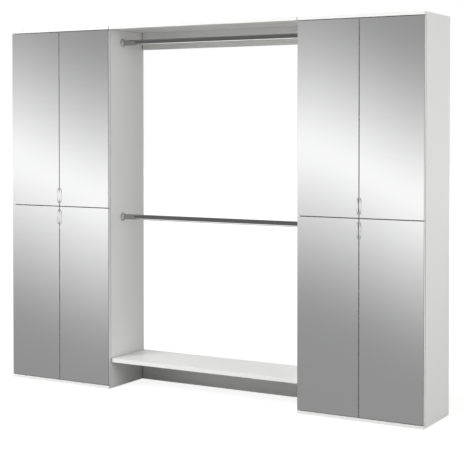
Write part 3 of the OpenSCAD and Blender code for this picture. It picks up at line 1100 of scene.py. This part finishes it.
@dataclass(frozen=True)
class Carried:
    """A CAD node carried over: a merged copy, its long edges eased and its cuts in another finish.

    The skin is on the faces that lie on the boxes of its solids, and the cut on those inside, such as bores and
    grooves. One side may have another finish, and is given by its axis and whether it is the high one.
    """

    node: str
    suffix: str
    skin: Finish
    cut: Finish
    arris: float
    segments: int = 2
    all_edges: bool = False  # True eases every sharp edge, not only the edges of the solids' boxes
    other: Finish | None = None
    other_faces: tuple[Axis, bool] | None = None
    arris_number: int = -1  # number of the eased edges' finish, or -1 for that of the faces beside them

    def on_planes(self, mesh: Mesh) -> np.ndarray:
        """Finds which points lie on the planes of their own solid's box.

        Args:
            mesh: the merged copy.

        Returns:
            Six flags for each point: its box's low planes along X, Y and Z, then the high ones.
        """
        points, label, near = points_of(mesh), islands(mesh), 2e-6
        low, high = points.copy(), points.copy()
        np.minimum.at(low, label, points)
        np.maximum.at(high, label, points)
        return np.concatenate([points - low[label] < near, high[label] - points < near], 1)

    def number_faces(self, mesh: Mesh, flags: np.ndarray) -> np.ndarray:
        """Gives 0 to faces on the outside planes, 1 to cuts and 2 to the side that has its own finish.

        Args:
            mesh: the merged copy.
            flags: on_planes of its points.

        Returns:
            For each face, whether it lies on an outside plane.
        """
        shared = np.array([np.logical_and.reduce(flags[list(face.vertices)]) for face in mesh.polygons])
        outside = shared.any(1)
        number = np.where(outside, 0, 1)
        if self.other_faces:
            axis, high = self.other_faces
            number[shared[:, axis.value + 3 * high]] = 2
        mesh.polygons.foreach_set("material_index", number.astype(np.int32))
        return outside

    def mark_edges(self, mesh: Mesh, flags: np.ndarray) -> None:
        """Marks for the bevel the edges that lie on two planes of the box.

        Args:
            mesh: the merged copy.
            flags: on_planes of its points.
        """
        first, second = edge_ends(mesh)
        weight = ((flags[first] & flags[second]).sum(1) >= 2).astype(np.float32)
        mesh.attributes.new("bevel_weight_edge", "FLOAT", "EDGE").data.foreach_set("value", weight)

    def build(self, body: str, slot: Slot) -> None:
        """Makes the copy, which stands for its node. Box planes are shaded flat, so that a pane has no ripple.

        Args:
            body: its body.
            slot: not used.
        """
        mesh = merged_copy(self.node)
        flags = self.on_planes(mesh)
        outside = self.number_faces(mesh, flags)
        if not self.all_edges:
            self.mark_edges(mesh, flags)
        finishes = [self.skin, self.cut] + ([self.other] if self.other else [])
        piece = make_object(f"{self.node}_{self.suffix}", mesh, finishes)
        if not self.all_edges:
            layer = mesh.attributes.get("sharp_face") or mesh.attributes.new("sharp_face", "BOOLEAN", "FACE")
            layer.data.foreach_set("value", outside)
        bevel = piece.modifiers.new("arris", "BEVEL")
        bevel.width, bevel.segments, bevel.material = self.arris, self.segments, self.arris_number
        bevel.limit_method, bevel.angle_limit = "ANGLE" if self.all_edges else "WEIGHT", SMOOTH_ANGLE
        bevel.use_clamp_overlap = bevel.harden_normals = self.all_edges
        settle(piece, self.node, body)


@dataclass(frozen=True)
class Boards:
    """How the melamine boards of a part of the wardrobe are finished, with raw chipboard in their bores."""

    arris: float = 0.7 * MM
    foil: Melamine = WHITE

    def lay(self, *nodes: str, body: str = "carcass") -> None:
        """Carries boards over."""
        for node in nodes:
            Carried(node, "board", self.foil, CORE, self.arris).build(body, Slot.WHITE_BOARD)


# The doors


@dataclass(frozen=True)
class BowPull:
    """A chromed bow pull on two flared feet, with the screws that hold it from behind the door."""

    rod: float = 5.0 * MM
    taper: float = 0.2
    foot: float = 8.0 * MM
    foot_height: float = 4.5 * MM
    bow_start: float = 3.0 * MM
    head: float = 8.0 * MM
    head_height: float = 2.2 * MM
    shank: float = 3.9 * MM

    def build(self, leaf: "Leaf") -> None:
        """Makes the pull of a door in the space of its CAD node.

        Args:
            leaf: the door.
        """
        node = f"{leaf.name}_pull"
        low, high = corners_of(node)
        face_y = corners_of(f"{leaf.name}_mirror")[0][1]
        middle = np.array([(low[0] + high[0]) / 2, face_y, (low[2] + high[2]) / 2])
        half = (high[2] - low[2] - self.foot) / 2
        parts = [(self.bow(half, face_y - low[1]).moved(middle), 0)]
        for sign in (-1, 1):
            foot_place = middle + np.array([0, 0, sign * half])
            parts.append((self.foot_shape().moved(foot_place), 0))
            parts += [(shell, 1) for shell in self.screw(foot_place, high[1])]
        settle(shell_object(f"{leaf.name}_bow_pull", parts, [CHROME, NICKEL]), node, leaf.body)

    def bow(self, half: float, out: float) -> Shell:
        """The bent bar, thinner towards its round ends, which sit inside the feet.

        Its radius at s, from -1 to 1, is that of the rod times 1 - taper s^4, and the last 4% are rounded off.

        Args:
            half: half the distance between the feet.
            out: how far the bow stands out from the mirror.

        Returns:
            The bar, with the mirror's face at y = 0.
        """
        share = np.linspace(-1, 1, 49)
        thick = self.rod / 2 * (1 - self.taper * share**4)
        ends = np.sqrt(np.clip(1 - ((np.abs(share) - 0.96) / 0.04).clip(0, 0.95) ** 2, 0, 1))
        return swept_bow(half, out - self.rod / 2 - self.bow_start, self.bow_start, thick * ends)

    def foot_shape(self) -> Shell:
        """A foot: a collar on the mirror, a hollow curve up to the bow's thickness and a domed top.

        The radius of the curve is neck + (wide - neck) (1 - t)^2.2, with t from 0 on the collar to 1 at the bow.

        Returns:
            The foot, with the mirror's face at y = 0.
        """
        share = np.linspace(0, 1, 12)
        wide, neck = self.foot / 2, self.rod / 2 * 1.02
        flare = neck + (wide - neck) * (1 - share) ** 2.2
        reach = self.foot_height * (0.12 + 0.72 * share)
        top = np.linspace(0, math.pi / 2, 5)[1:]
        radius = [0.96 * wide, wide, *flare, *(neck * np.cos(top) + 0.02 * MM)]
        along = [0.0, 0.06 * self.foot_height, *reach, *(reach[-1] + 0.16 * self.foot_height * np.sin(top))]
        return turned(radius, along, sectors=28).aimed(Axis.Y, False)

    def screw(self, foot_place: np.ndarray, back_y: float) -> list[Shell]:
        """A screw from behind, with its head against the back of the door.

        Args:
            foot_place: middle of the foot on the mirror's face.
            back_y: how far back the screw's head reaches.

        Returns:
            The shank and the head.
        """
        seat, start = back_y - self.head_height, foot_place[1] - self.foot_height + 1.2 * MM
        shank = turned(*rounded(self.shank / 2, start, seat + 0.3 * MM, 0.2 * MM), sectors=16).aimed(Axis.Y)
        head = cross_head(self.head / 2, self.head_height).aimed(Axis.Y)
        across = foot_place * np.array([1, 0, 1])
        return [shank.moved(across), head.moved(across + np.array([0, seat, 0]))]


@dataclass(frozen=True)
class Leaf:
    """One mirror door with what moves with it: its board, mirror, pull and hinge cups."""

    cabinet: Side
    row: Row
    hung: Side
    board_arris: float = 0.6 * MM
    glass_arris: float = 0.8 * MM
    cup_arris: float = 0.25 * MM

    @property
    def name(self) -> str:
        """The start of the names of the door's pieces."""
        return f"{self.cabinet.value}_cabinet_{self.row.value}_{self.hung.value}"

    @property
    def body(self) -> str:
        """The body that the door's pieces ride on."""
        return f"{self.name}_leaf"

    def build(self) -> None:
        """Makes the board, the pane with silver on its front and a polished arris, the pull and the cups."""
        Boards(self.board_arris).lay(f"{self.name}_door", body=self.body)
        Carried(
            f"{self.name}_mirror", "pane", GLASS_EDGE, GLASS_EDGE, self.glass_arris, segments=1, other=SILVER,
            other_faces=(Axis.Y, False), arris_number=0,
        ).build(self.body, Slot.MIRROR)
        BowPull().build(self)
        cups = Carried(f"{self.name}_hinge_cups", "pressed", NICKEL, NICKEL, self.cup_arris, all_edges=True)
        cups.build(self.body, Slot.HINGE_STEEL)


# The cabinets


@dataclass(frozen=True)
class ShelfPins:
    """Steel pins under the loose shelves, with a domed nose and a groove where they enter the side."""

    nose: float = 0.9 * MM
    groove: float = 0.25 * MM
    groove_half: float = 0.3 * MM

    def build(self, node: str) -> None:
        """Makes the pins of a cabinet, each in the box of its CAD solid.

        Args:
            node: their CAD node.
        """
        shells = []
        for solid in solids_of(node):
            length, radius = solid.size[0], solid.size[1] / 2
            radii, places = rounded(radius, -length / 2, length / 2, self.nose)
            half = len(radii) // 2
            radii[half:half] = [radius, radius - self.groove, radius - self.groove, radius]
            places[half:half] = [self.groove_half * step for step in (-2, -1, 1, 2)]
            shells.append(turned(radii, places, sectors=20).moved(solid.middle))
        swap(node, "turned", shells, NICKEL)


@dataclass(frozen=True)
class HingeArms:
    """The hinge arms of a cabinet with the two adjusting screws on each."""

    arris: float = 0.3 * MM
    screw: float = 5.6 * MM
    screw_height: float = 0.9 * MM
    places: tuple[float, float] = (0.62, 0.9)  # of the screws, as shares of an arm's length

    def build(self, node: str) -> None:
        """Carries the arms over and adds the screws that set the door's place.

        Args:
            node: their CAD node.
        """
        Carried(node, "pressed", NICKEL, NICKEL, self.arris, all_edges=True).build("carcass", Slot.HINGE_STEEL)
        shells = []
        for solid in solids_of(node):
            low, high = corners_of(node.replace("hinge_arms", "fixed_shelf"))
            on_left = solid.middle[0] < (low[0] + high[0]) / 2
            head = cross_head(self.screw / 2, self.screw_height).aimed(Axis.X, on_left)
            for share in self.places:
                along = np.array([0, (share - 0.5) * solid.size[1], 0])
                shells.append((head.moved(solid.side(Axis.X, on_left) + along), 0))
        screws = shell_object(f"{node}_adjusting_screws", shells, [NICKEL])
        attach(screws, "carcass")
        log.info("%s rides on carcass", screws.name)


@dataclass(frozen=True)
class Cabinet:
    """One cabinet: its boards, back panel, shelves, pins, hinge arms and four doors."""

    side: Side
    boards: Boards = field(default_factory=Boards)
    panel_arris: float = 0.2 * MM

    def build(self) -> None:
        """Makes all the pieces of the cabinet."""
        name = f"{self.side.value}_cabinet"
        parts = ("top_board", "bottom_board", "left_side", "right_side", "fixed_shelf", "loose_shelves")
        self.boards.lay(*(f"{name}_{part}" for part in parts))
        Carried(
            f"{name}_back_panel", "panel", PANEL_WHITE, CORE, self.panel_arris, segments=1, other=FIBRE,
            other_faces=(Axis.Y, True),
        ).build("carcass", Slot.WHITE_HARDBOARD)
        ShelfPins().build(f"{name}_shelf_pins")
        HingeArms().build(f"{name}_hinge_arms")
        for row in Row:
            for hung in Side:
                Leaf(self.side, row, hung).build()


# The open bay


@dataclass(frozen=True)
class ClothesRail:
    """An oval chromed tube, upright, open at both ends inside its sockets."""

    node: str
    wall: float = 1.2 * MM
    rim: float = 0.3 * MM

    def build(self) -> None:
        """Makes the tube: a profile along the outside, round the rim and back inside, carried round an oval."""
        low, high = corners_of(self.node)
        length, width, height = high - low
        half, outer, inner = length / 2, width / 2, width / 2 - self.wall
        radius = [outer - self.rim, outer, outer, outer - self.rim, inner, inner]
        reach = [-half, -half + self.rim, half - self.rim, half, half, -half]
        tube = turned(radius, reach, (height - width) / 2, sectors=48, closed=True).moved((low + high) / 2)
        # the tube's chrome is darkened as painted shade
        swap(self.node, "tube", [tube], TUBE)


@dataclass(frozen=True)
class RailSockets:
    """Cast sockets: a wall plate with eased rims and a collar round the tube."""

    plate: float = 4.0 * MM
    bore: float = 7.7 * MM
    collar: float = 9.7 * MM
    collar_middle: float = 7.5 * MM
    ease: float = 1.0 * MM

    def build(self) -> None:
        """Makes each socket in the box of its CAD solid, its plate against the cabinet."""
        shells = []
        for solid in solids_of("rail_sockets", Axis.X):
            on_left = solid.middle[0] < 0
            shells.append(self.shape(solid.size).aimed(Axis.X, on_left).moved(solid.side(Axis.X, not on_left)))
        swap("rail_sockets", "cast", shells, CAST)

    def shape(self, size: np.ndarray) -> Shell:
        """A socket on x = 0 that opens towards +X.

        Its profile, carried round an oval, goes out along the back of the plate, over its eased rim, in to the foot
        of the collar, out along the collar, over its rounded lip and back down the bore to its floor.

        Args:
            size: sizes of the CAD solid's box.

        Returns:
            The surface.
        """
        depth, width, height = size
        rim, middle, ease, straight = width / 2, (height - width) / 2, self.ease, self.collar_middle
        turn, half_turn = np.linspace(0, math.pi / 2, 4), np.linspace(0, math.pi, 7)
        lip, ring = (self.collar - self.bore) / 2, (self.collar + self.bore) / 2
        rows = [(rim - ease / 2, middle, 0.0), (rim, middle, ease / 2)]
        rows += [(rim - ease * (1 - math.cos(a)), middle, self.plate - ease * (1 - math.sin(a))) for a in turn]
        rows += [
            (self.collar + ease * (1 - math.sin(a)), straight, self.plate + ease * (1 - math.cos(a))) for a in turn
        ]
        rows += [(ring + lip * math.cos(a), straight, depth - lip * (1 - math.sin(a))) for a in half_turn]
        rows.append((self.bore, straight, self.plate))
        radius, stretch, reach = zip(*rows)
        return turned(list(radius), list(reach), list(stretch), sectors=40)


@dataclass(frozen=True)
class Bay:
    """The open bay: its boards, its two clothes rails and their sockets."""

    boards: Boards = Boards(1.2 * MM, BAY_WHITE)

    def build(self) -> None:
        """Makes all the pieces of the bay."""
        self.boards.lay("bay_top_board", "bay_back_rail", "bay_plinth", "bay_low_shelf")
        for rail in ("upper_clothes_rail", "lower_clothes_rail"):
            ClothesRail(rail).build()
        RailSockets().build()


# Small shared parts


@dataclass(frozen=True)
class SmallParts:
    """Dowels, wood screws and door buffers, each in the box of its CAD solid."""

    head_height: float = 1.5 * MM
    threads: int = 15
    dome: float = 0.8 * MM

    def build(self) -> None:
        """Makes the three groups."""
        self.dowels()
        self.screws()
        self.buffers()

    def dowels(self) -> None:
        """Fluted beech dowels along X or Z."""
        shells = []
        for solid in solids_of("wooden_dowels"):
            dowel = fluted_dowel(solid.size[1] / 2, solid.size.max())
            shells.append(dowel.aimed(solid.long_axis).moved(solid.middle))
        swap("wooden_dowels", "fluted", shells, BEECH)

    def screws(self) -> None:
        """Cross-headed wood screws along X: a thin shank with thread rings, and a head on the plate."""
        shells = []
        for solid in solids_of("wood_screws"):
            length, head = solid.size[0], solid.size[1] / 2
            shank = head / 2
            pitch = np.linspace(0.06, 0.9, self.threads) * length
            thread = shank * (0.82 + 0.18 * (np.arange(self.threads) % 2))
            body = turned([0.2 * shank, *thread, shank], [0.0, *pitch, length - self.head_height / 2], sectors=12)
            top = cross_head(head, self.head_height).moved((length - self.head_height, 0, 0))
            start = solid.side(Axis.X, not solid.head_high)
            shells += [part.aimed(Axis.X, solid.head_high).moved(start) for part in (body, top)]
        swap("wood_screws", "threaded", shells, NICKEL)

    def buffers(self) -> None:
        """Soft discs on the front edges of the fixed shelves, domed towards the doors."""
        shells = []
        for solid in solids_of("door_buffers", Axis.Y):
            radius, depth = solid.size[0] / 2, solid.size[1]
            angle = np.linspace(0, math.pi / 2, 6)[:-1]
            rim, reach = radius * np.cos(angle * 0.8), depth - self.dome * (1 - np.sin(angle))
            disc = turned([radius, *rim], [0.0, *reach], sectors=28).aimed(Axis.Y, False)
            shells.append(disc.moved(solid.side(Axis.Y, True)))
        swap("door_buffers", "domed", shells, SOFT)


# The studio


@dataclass(frozen=True)
class Viewpoint:
    """Where the photograph was taken from. Angles are in degrees, and _px fields in pixels of the photograph."""

    eye: Place = (3.532, -5.9145, 1.499)
    turn: float = 30.018  # from straight ahead towards the left end
    dip: float = 1.2  # below level
    focal_px: float = 1241.8
    axis_px: tuple[float, float] = (1.22, 73.4)  # how far right of and above the frame's middle the lens axis falls
    width_px: int = 463
    clip: tuple[float, float] = (0.05, 100.0)

    def camera(self) -> None:
        """Makes the camera and shows the scene through it."""
        data = bpy.data.cameras.new("photo_camera")
        data.lens = self.focal_px / self.width_px * data.sensor_width
        data.shift_x, data.shift_y = (-offset / self.width_px for offset in self.axis_px)
        data.clip_start, data.clip_end = self.clip
        camera = placed("photo_camera", data)
        camera.location = self.eye
        camera.rotation_euler = (math.radians(90 - self.dip), 0.0, math.radians(self.turn))
        bpy.context.scene.camera = camera


class CardGlow(Enum):
    """What a reflection card shows."""

    BAND = "band"
    STREAK = "streak"


@dataclass(frozen=True)
class ReflectionCard:
    """A bent studio sheet that glows, seen only by mirrors, metal and gloss.

    It runs from the doors along the floor, up a far wall and back overhead. A band card glows in a bright band
    that slopes in front of each cabinet, as the photograph's mirrors show. A streak card is dim above and bright
    low down, which draws the light line along a round rail. Both are laid out for the photograph's viewpoint.
    """

    name: str
    eye: Place
    glow: CardGlow
    behind: bool = False  # behind the wardrobe, where open doors look, with a level band
    nearer: float = 0.0  # how far inside the widest sheet this one lies
    wall_y: float = -6.0
    near_y: float = -0.174  # where the sheet starts in front of the doors
    half_width: float = 14.0
    bend: float = 0.8
    roof: tuple[float, float] = (6.0, 0.6)  # how high it reaches, and how far back the part overhead goes
    columns: int = 281
    band_x: tuple[float, ...] = (-1.3, -0.95, -0.6, 0.6, 0.95, 1.3)  # where on the doors the next two are given
    band_z: tuple[float, ...] = (1.312, 1.183, 1.062, 1.406, 1.281, 1.115)
    band_fall: tuple[float, ...] = (0.506, 0.520, 0.534, 0.584, 0.596, 0.608)  # shares of white a metre of height
    band_ease: float = 0.1  # distance over which the band's bends are rounded
    peak: float = 0.954  # display tones of the band's middle and of what it fades to
    dim: float = 0.547
    crest: float = 0.067  # softness of the band's top and of its foot
    toe: float = 0.088
    reflected: float = 0.92  # share of light that a mirror door returns
    streak_z: tuple[float, float] = (0.60, 0.72)  # heights between which a streak card turns dim
    streak: tuple[float, float] = (2.4, 0.27)  # its glow below and above

    def profile(self) -> tuple[np.ndarray, np.ndarray]:
        """The sheet's line seen from its end: along the floor, up the wall and back overhead, with round bends.

        Returns:
            The Y and Z of its points.
        """
        floor_z, wall_y, roof_z = 4 * MM + self.nearer, self.wall_y + self.nearer, self.roof[0] - self.nearer
        turn = np.linspace(0, math.pi / 2, 9)[1:-1]
        rise, run = self.bend * (1 - np.cos(turn)), self.bend * (1 - np.sin(turn))
        low_y = np.linspace(self.near_y, wall_y + self.bend, 40)
        wall_z = np.linspace(floor_z + self.bend, roof_z - self.bend, 24)
        top_y = np.linspace(wall_y + self.bend, self.roof[1], 16)
        y = [low_y, wall_y + run, 0 * wall_z + wall_y, wall_y + rise, top_y]
        z = [0 * low_y + floor_z, floor_z + rise, wall_z, roof_z - run, 0 * top_y + roof_z]
        return np.concatenate(y), np.concatenate(z)

    def seen_in_mirror(self, points: np.ndarray, mirror_y: float) -> tuple[np.ndarray, np.ndarray]:
        """Where on the doors' plane the eye sees each point of the sheet.

        The line from the eye's image to a point crosses the plane at (image_y - mirror_y) / (image_y - y).

        Args:
            points: points of the sheet.
            mirror_y: the plane of the mirrors.

        Returns:
            The X and Z of the crossings.
        """
        image = np.array([self.eye[0], 2 * mirror_y - self.eye[1], self.eye[2]])
        share = (image[1] - mirror_y) / (image[1] - points[..., 1])
        crossing = image + (points - image) * share[..., None]
        return crossing[..., 0], crossing[..., 2]

    def along_band(self, x: np.ndarray, values: tuple[float, ...]) -> np.ndarray:
        """Values given at band_x, straight between them, held beyond them, their bends rounded by a mean of three."""
        offsets = (-self.band_ease, 0.0, self.band_ease)
        return np.mean([np.interp(x + off, self.band_x, values) for off in offsets], 0)

    def build(self) -> Piece:
        """Makes the sheet, hidden from all but glossy rays.

        Returns:
            The sheet.
        """
        y, z = self.profile()
        x = np.linspace(-self.half_width, self.half_width, self.columns)
        grid = np.stack(np.broadcast_arrays(x[None, :], y[:, None], z[:, None]), -1)
        seen_x, seen_z = self.seen_in_mirror(grid, corners_of("left_cabinet_upper_left_mirror")[0][1])
        if self.behind:
            grid = grid * np.array([1.0, -1.0, 1.0])
            fade = (seen_z - np.mean(self.band_z)) * np.mean(self.band_fall)
        else:
            fade = (seen_z - self.along_band(seen_x, self.band_z)) * self.along_band(seen_x, self.band_fall)
        faces = np.array(grid_faces(len(y), len(x), False)).reshape(len(y) - 1, len(x), 4)[:, :-1]
        mesh = bpy.data.meshes.new(self.name)
        mesh.from_pydata(grid.reshape(-1, 3).tolist(), [], faces.reshape(-1, 4).tolist())
        for kind, values in (("fade", fade), ("seen_z", seen_z)):
            mesh.attributes.new(kind, "FLOAT", "POINT").data.foreach_set("value", values.ravel().astype(np.float32))
        mesh.materials.append(self.material())
        card = placed(self.name, mesh)
        card.visible_camera = card.visible_diffuse = card.visible_shadow = False
        card.visible_transmission = card.visible_volume_scatter = False
        return card

    def material(self) -> bpy.types.Material:
        """The sheet's glow. A sheet inside another one lets it shine through, for pieces that don't see it.

        Returns:
            The material.
        """
        made = bpy.data.materials.new(f"{self.name}_glow")
        tree = bare_tree(made)
        level = self.streak_level(tree) if self.glow is CardGlow.STREAK else self.band_level(tree)
        shader = tree.add("ShaderNodeEmission", {"Strength": level})
        if self.nearer:
            clear = tree.add("ShaderNodeBsdfTransparent")
            shader = tree.add("ShaderNodeAddShader", {0: shader.outputs[0], 1: clear.outputs[0]})
        tree.show(shader)
        return made

    def streak_level(self, tree: Tree) -> Socket:
        """Bright below the first of the streak's heights and dim above the second."""
        height = tree.add("ShaderNodeAttribute", attribute_name="seen_z").outputs["Fac"]
        return tree.ranged(height, *self.streak_z, *self.streak)

    def band_level(self, tree: Tree) -> Socket:
        """A rounded tent of display tone over the distance from the band's middle, made linear.

        Args:
            tree: the material's tree.

        Returns:
            The strength of the glow.
        """
        fade = tree.add("ShaderNodeAttribute", attribute_name="fade").outputs["Fac"]
        softened = tree.math("SQRT", tree.math("MULTIPLY_ADD", fade, fade, self.crest**2))
        above = tree.math("SUBTRACT", self.peak + self.crest - self.dim, softened)
        eased = tree.math("SQRT", tree.math("ADD", tree.math("MULTIPLY", above, above), self.toe**2))
        grey = tree.math("MULTIPLY_ADD", tree.math("ADD", above, eased), 0.5, self.dim)
        return tree.math("DIVIDE", tree.math("POWER", grey, DISPLAY_GAMMA), self.reflected)


def ending_in(*endings: str) -> list[Piece]:
    """The objects whose names end in one of these words."""
    return [piece for piece in bpy.data.objects if piece.name.endswith(endings)]


def link_light(card: Piece, pieces: list[Piece], hidden: bool = False) -> None:
    """Limits which pieces a card shines on.

    Args:
        card: the card.
        pieces: the pieces.
        hidden: True keeps the card from them, False from all others.
    """
    group = bpy.data.collections.new(f"{card.name}_receivers")
    for piece in pieces:
        group.objects.link(piece)
    for entry in group.collection_objects:
        entry.light_linking.link_state = "EXCLUDE" if hidden else "INCLUDE"
    card.light_linking.receiver_collection = group


@dataclass(frozen=True)
class Lamp:
    """A square soft lamp that lights but isn't seen, with its width and height, and its power in watts."""

    name: str
    place: Place
    size: tuple[float, float]
    power: float

    def hang(self, target: Place) -> None:
        """Makes the lamp.

        Args:
            target: the point that it aims at.
        """
        data = bpy.data.lights.new(self.name, "AREA")
        data.shape = "RECTANGLE"
        data.size, data.size_y = self.size
        data.energy = self.power
        lamp = placed(self.name, data)
        lamp.location = self.place
        x, y, z = np.asarray(target) - np.asarray(self.place)
        lamp.rotation_euler = (math.atan2(math.hypot(x, y), -z), 0.0, math.atan2(y, x) - math.pi / 2)
        lamp.visible_camera = lamp.visible_glossy = False


LAMPS = (
    Lamp("front_softbox", (0.0, -5.0, 4.5), (4.0, 2.0), 80.0),
    Lamp("front_left_softbox", (-5.0, -10.0, 7.0), (6.0, 4.0), 1020.0),
    Lamp("low_left_softbox", (-5.0, -4.5, 0.7), (3.0, 1.0), 48.0),
    Lamp("right_softbox", (7.0, -1.0, 2.0), (3.0, 3.0), 168.0),
    Lamp("right_rear_softbox", (5.0, 4.0, 2.5), (3.0, 3.0), 34.0),
    Lamp("overhead_softbox", (0.0, 2.0, 4.5), (4.0, 2.0), 20.0),
    Lamp("left_rear_softbox", (-4.0, 5.0, 3.4), (3.0, 3.0), 110.0),
)


@dataclass(frozen=True)
class Studio:
    """The floor, the plain world, the soft lamps and the reflection cards."""

    ambient: float = 0.22
    lamp_target: Place = (0.0, 0.0, 1.0)
    floor_half: float = 30.0
    floor_drop: float = 0.5 * MM
    floor_shadow: float = 0.25
    floor_glow: float = 1.15
    floor_white: Colour = (0.95, 0.95, 0.95)
    floor_near: Place = (0.62, 1.2, 0.0)  # the shadow fades between 1 and 1.8 of these shares of a metre
    floor_bounce: Colour = (0.45, 0.45, 0.44)
    inside: float = 0.02
    pull_dim: float = 0.82
    rear_start: float = 0.172

    def build(self) -> None:
        """Sets up everything round the wardrobe but the cards."""
        Viewpoint().camera()
        self.floor()
        self.world()
        for lamp in LAMPS:
            lamp.hang(self.lamp_target)
        bpy.context.scene.view_settings.view_transform = "Standard"

    def hang_cards(self) -> None:
        """Hangs the reflection cards: for the doors, behind, and one each that only rails or only pulls see."""
        eye, rails, pulls = Viewpoint().eye, ending_in("_rail_tube"), ending_in("_bow_pull", "_sockets_cast")
        doors = ReflectionCard("door_card", eye, CardGlow.BAND).build()
        ReflectionCard("rear_card", eye, CardGlow.BAND, behind=True, near_y=self.rear_start).build()
        streak = ReflectionCard("rail_card", eye, CardGlow.STREAK, nearer=self.inside).build()
        pale = ReflectionCard("pull_card", eye, CardGlow.BAND, nearer=2 * self.inside, dim=self.pull_dim).build()
        link_light(doors, rails + pulls, hidden=True)
        link_light(streak, rails)
        link_light(pale, pulls)

    def seen_directly(self, tree: Tree) -> Socket:
        """Tells rays that show a surface from rays that carry light.

        Args:
            tree: the material's or world's tree.

        Returns:
            1 for camera, glossy and transmission rays, 0 for all others.
        """
        path = tree.add("ShaderNodeLightPath").outputs
        either = tree.math("MAXIMUM", path["Is Camera Ray"], path["Is Glossy Ray"])
        return tree.math("MAXIMUM", either, path["Is Transmission Ray"])

    def floor(self) -> None:
        """A wide pale floor that looks white and keeps a faint shadow of the wardrobe."""
        mesh = bpy.data.meshes.new("floor")
        corners = self.floor_half * np.array([(-1, -1, 0), (1, -1, 0), (1, 1, 0), (-1, 1, 0)])
        mesh.from_pydata((corners - (0, 0, self.floor_drop)).tolist(), [], [[0, 1, 2, 3]])
        made = bpy.data.materials.new("pale_floor")
        tree = bare_tree(made)
        glow = tree.add("ShaderNodeEmission", {"Color": (1.0, 1.0, 1.0, 1.0), "Strength": self.floor_glow})
        white = tree.add("ShaderNodeBsdfDiffuse", {"Color": (*self.floor_white, 1.0)})
        place = tree.scaled(tree.add("ShaderNodeTexCoord").outputs["Object"], self.floor_near)
        away = tree.add("ShaderNodeVectorMath", {0: place}, operation="LENGTH").outputs["Value"]
        seen = tree.blended(tree.ranged(away, 1.0, 1.8, self.floor_shadow, 0.0), glow, white)
        bounce = tree.add("ShaderNodeBsdfDiffuse", {"Color": (*self.floor_bounce, 1.0)})
        tree.show(tree.blended(self.seen_directly(tree), bounce, seen))
        mesh.materials.append(made)
        placed("floor", mesh)

    def world(self) -> None:
        """A white world to look at that lights the wardrobe at a plain level."""
        made = bpy.data.worlds.new("white_room")
        tree = bare_tree(made)
        light, look = (
            tree.add("ShaderNodeBackground", {"Color": (1.0, 1.0, 1.0, 1.0), "Strength": strength})
            for strength in (self.ambient, 1.0)
        )
        tree.show(tree.blended(self.seen_directly(tree), light, look), "ShaderNodeOutputWorld")
        bpy.context.scene.world = made


def main() -> None:
    """Builds the studio and the wardrobe in order."""
    logging.basicConfig(level=logging.INFO, format="%(name)s: %(message)s")
    studio = Studio()
    studio.build()
    for side in Side:
        Cabinet(side).build()
    Bay().build()
    SmallParts().build()
    studio.hang_cards()


if __name__ == "__main__":
    main()
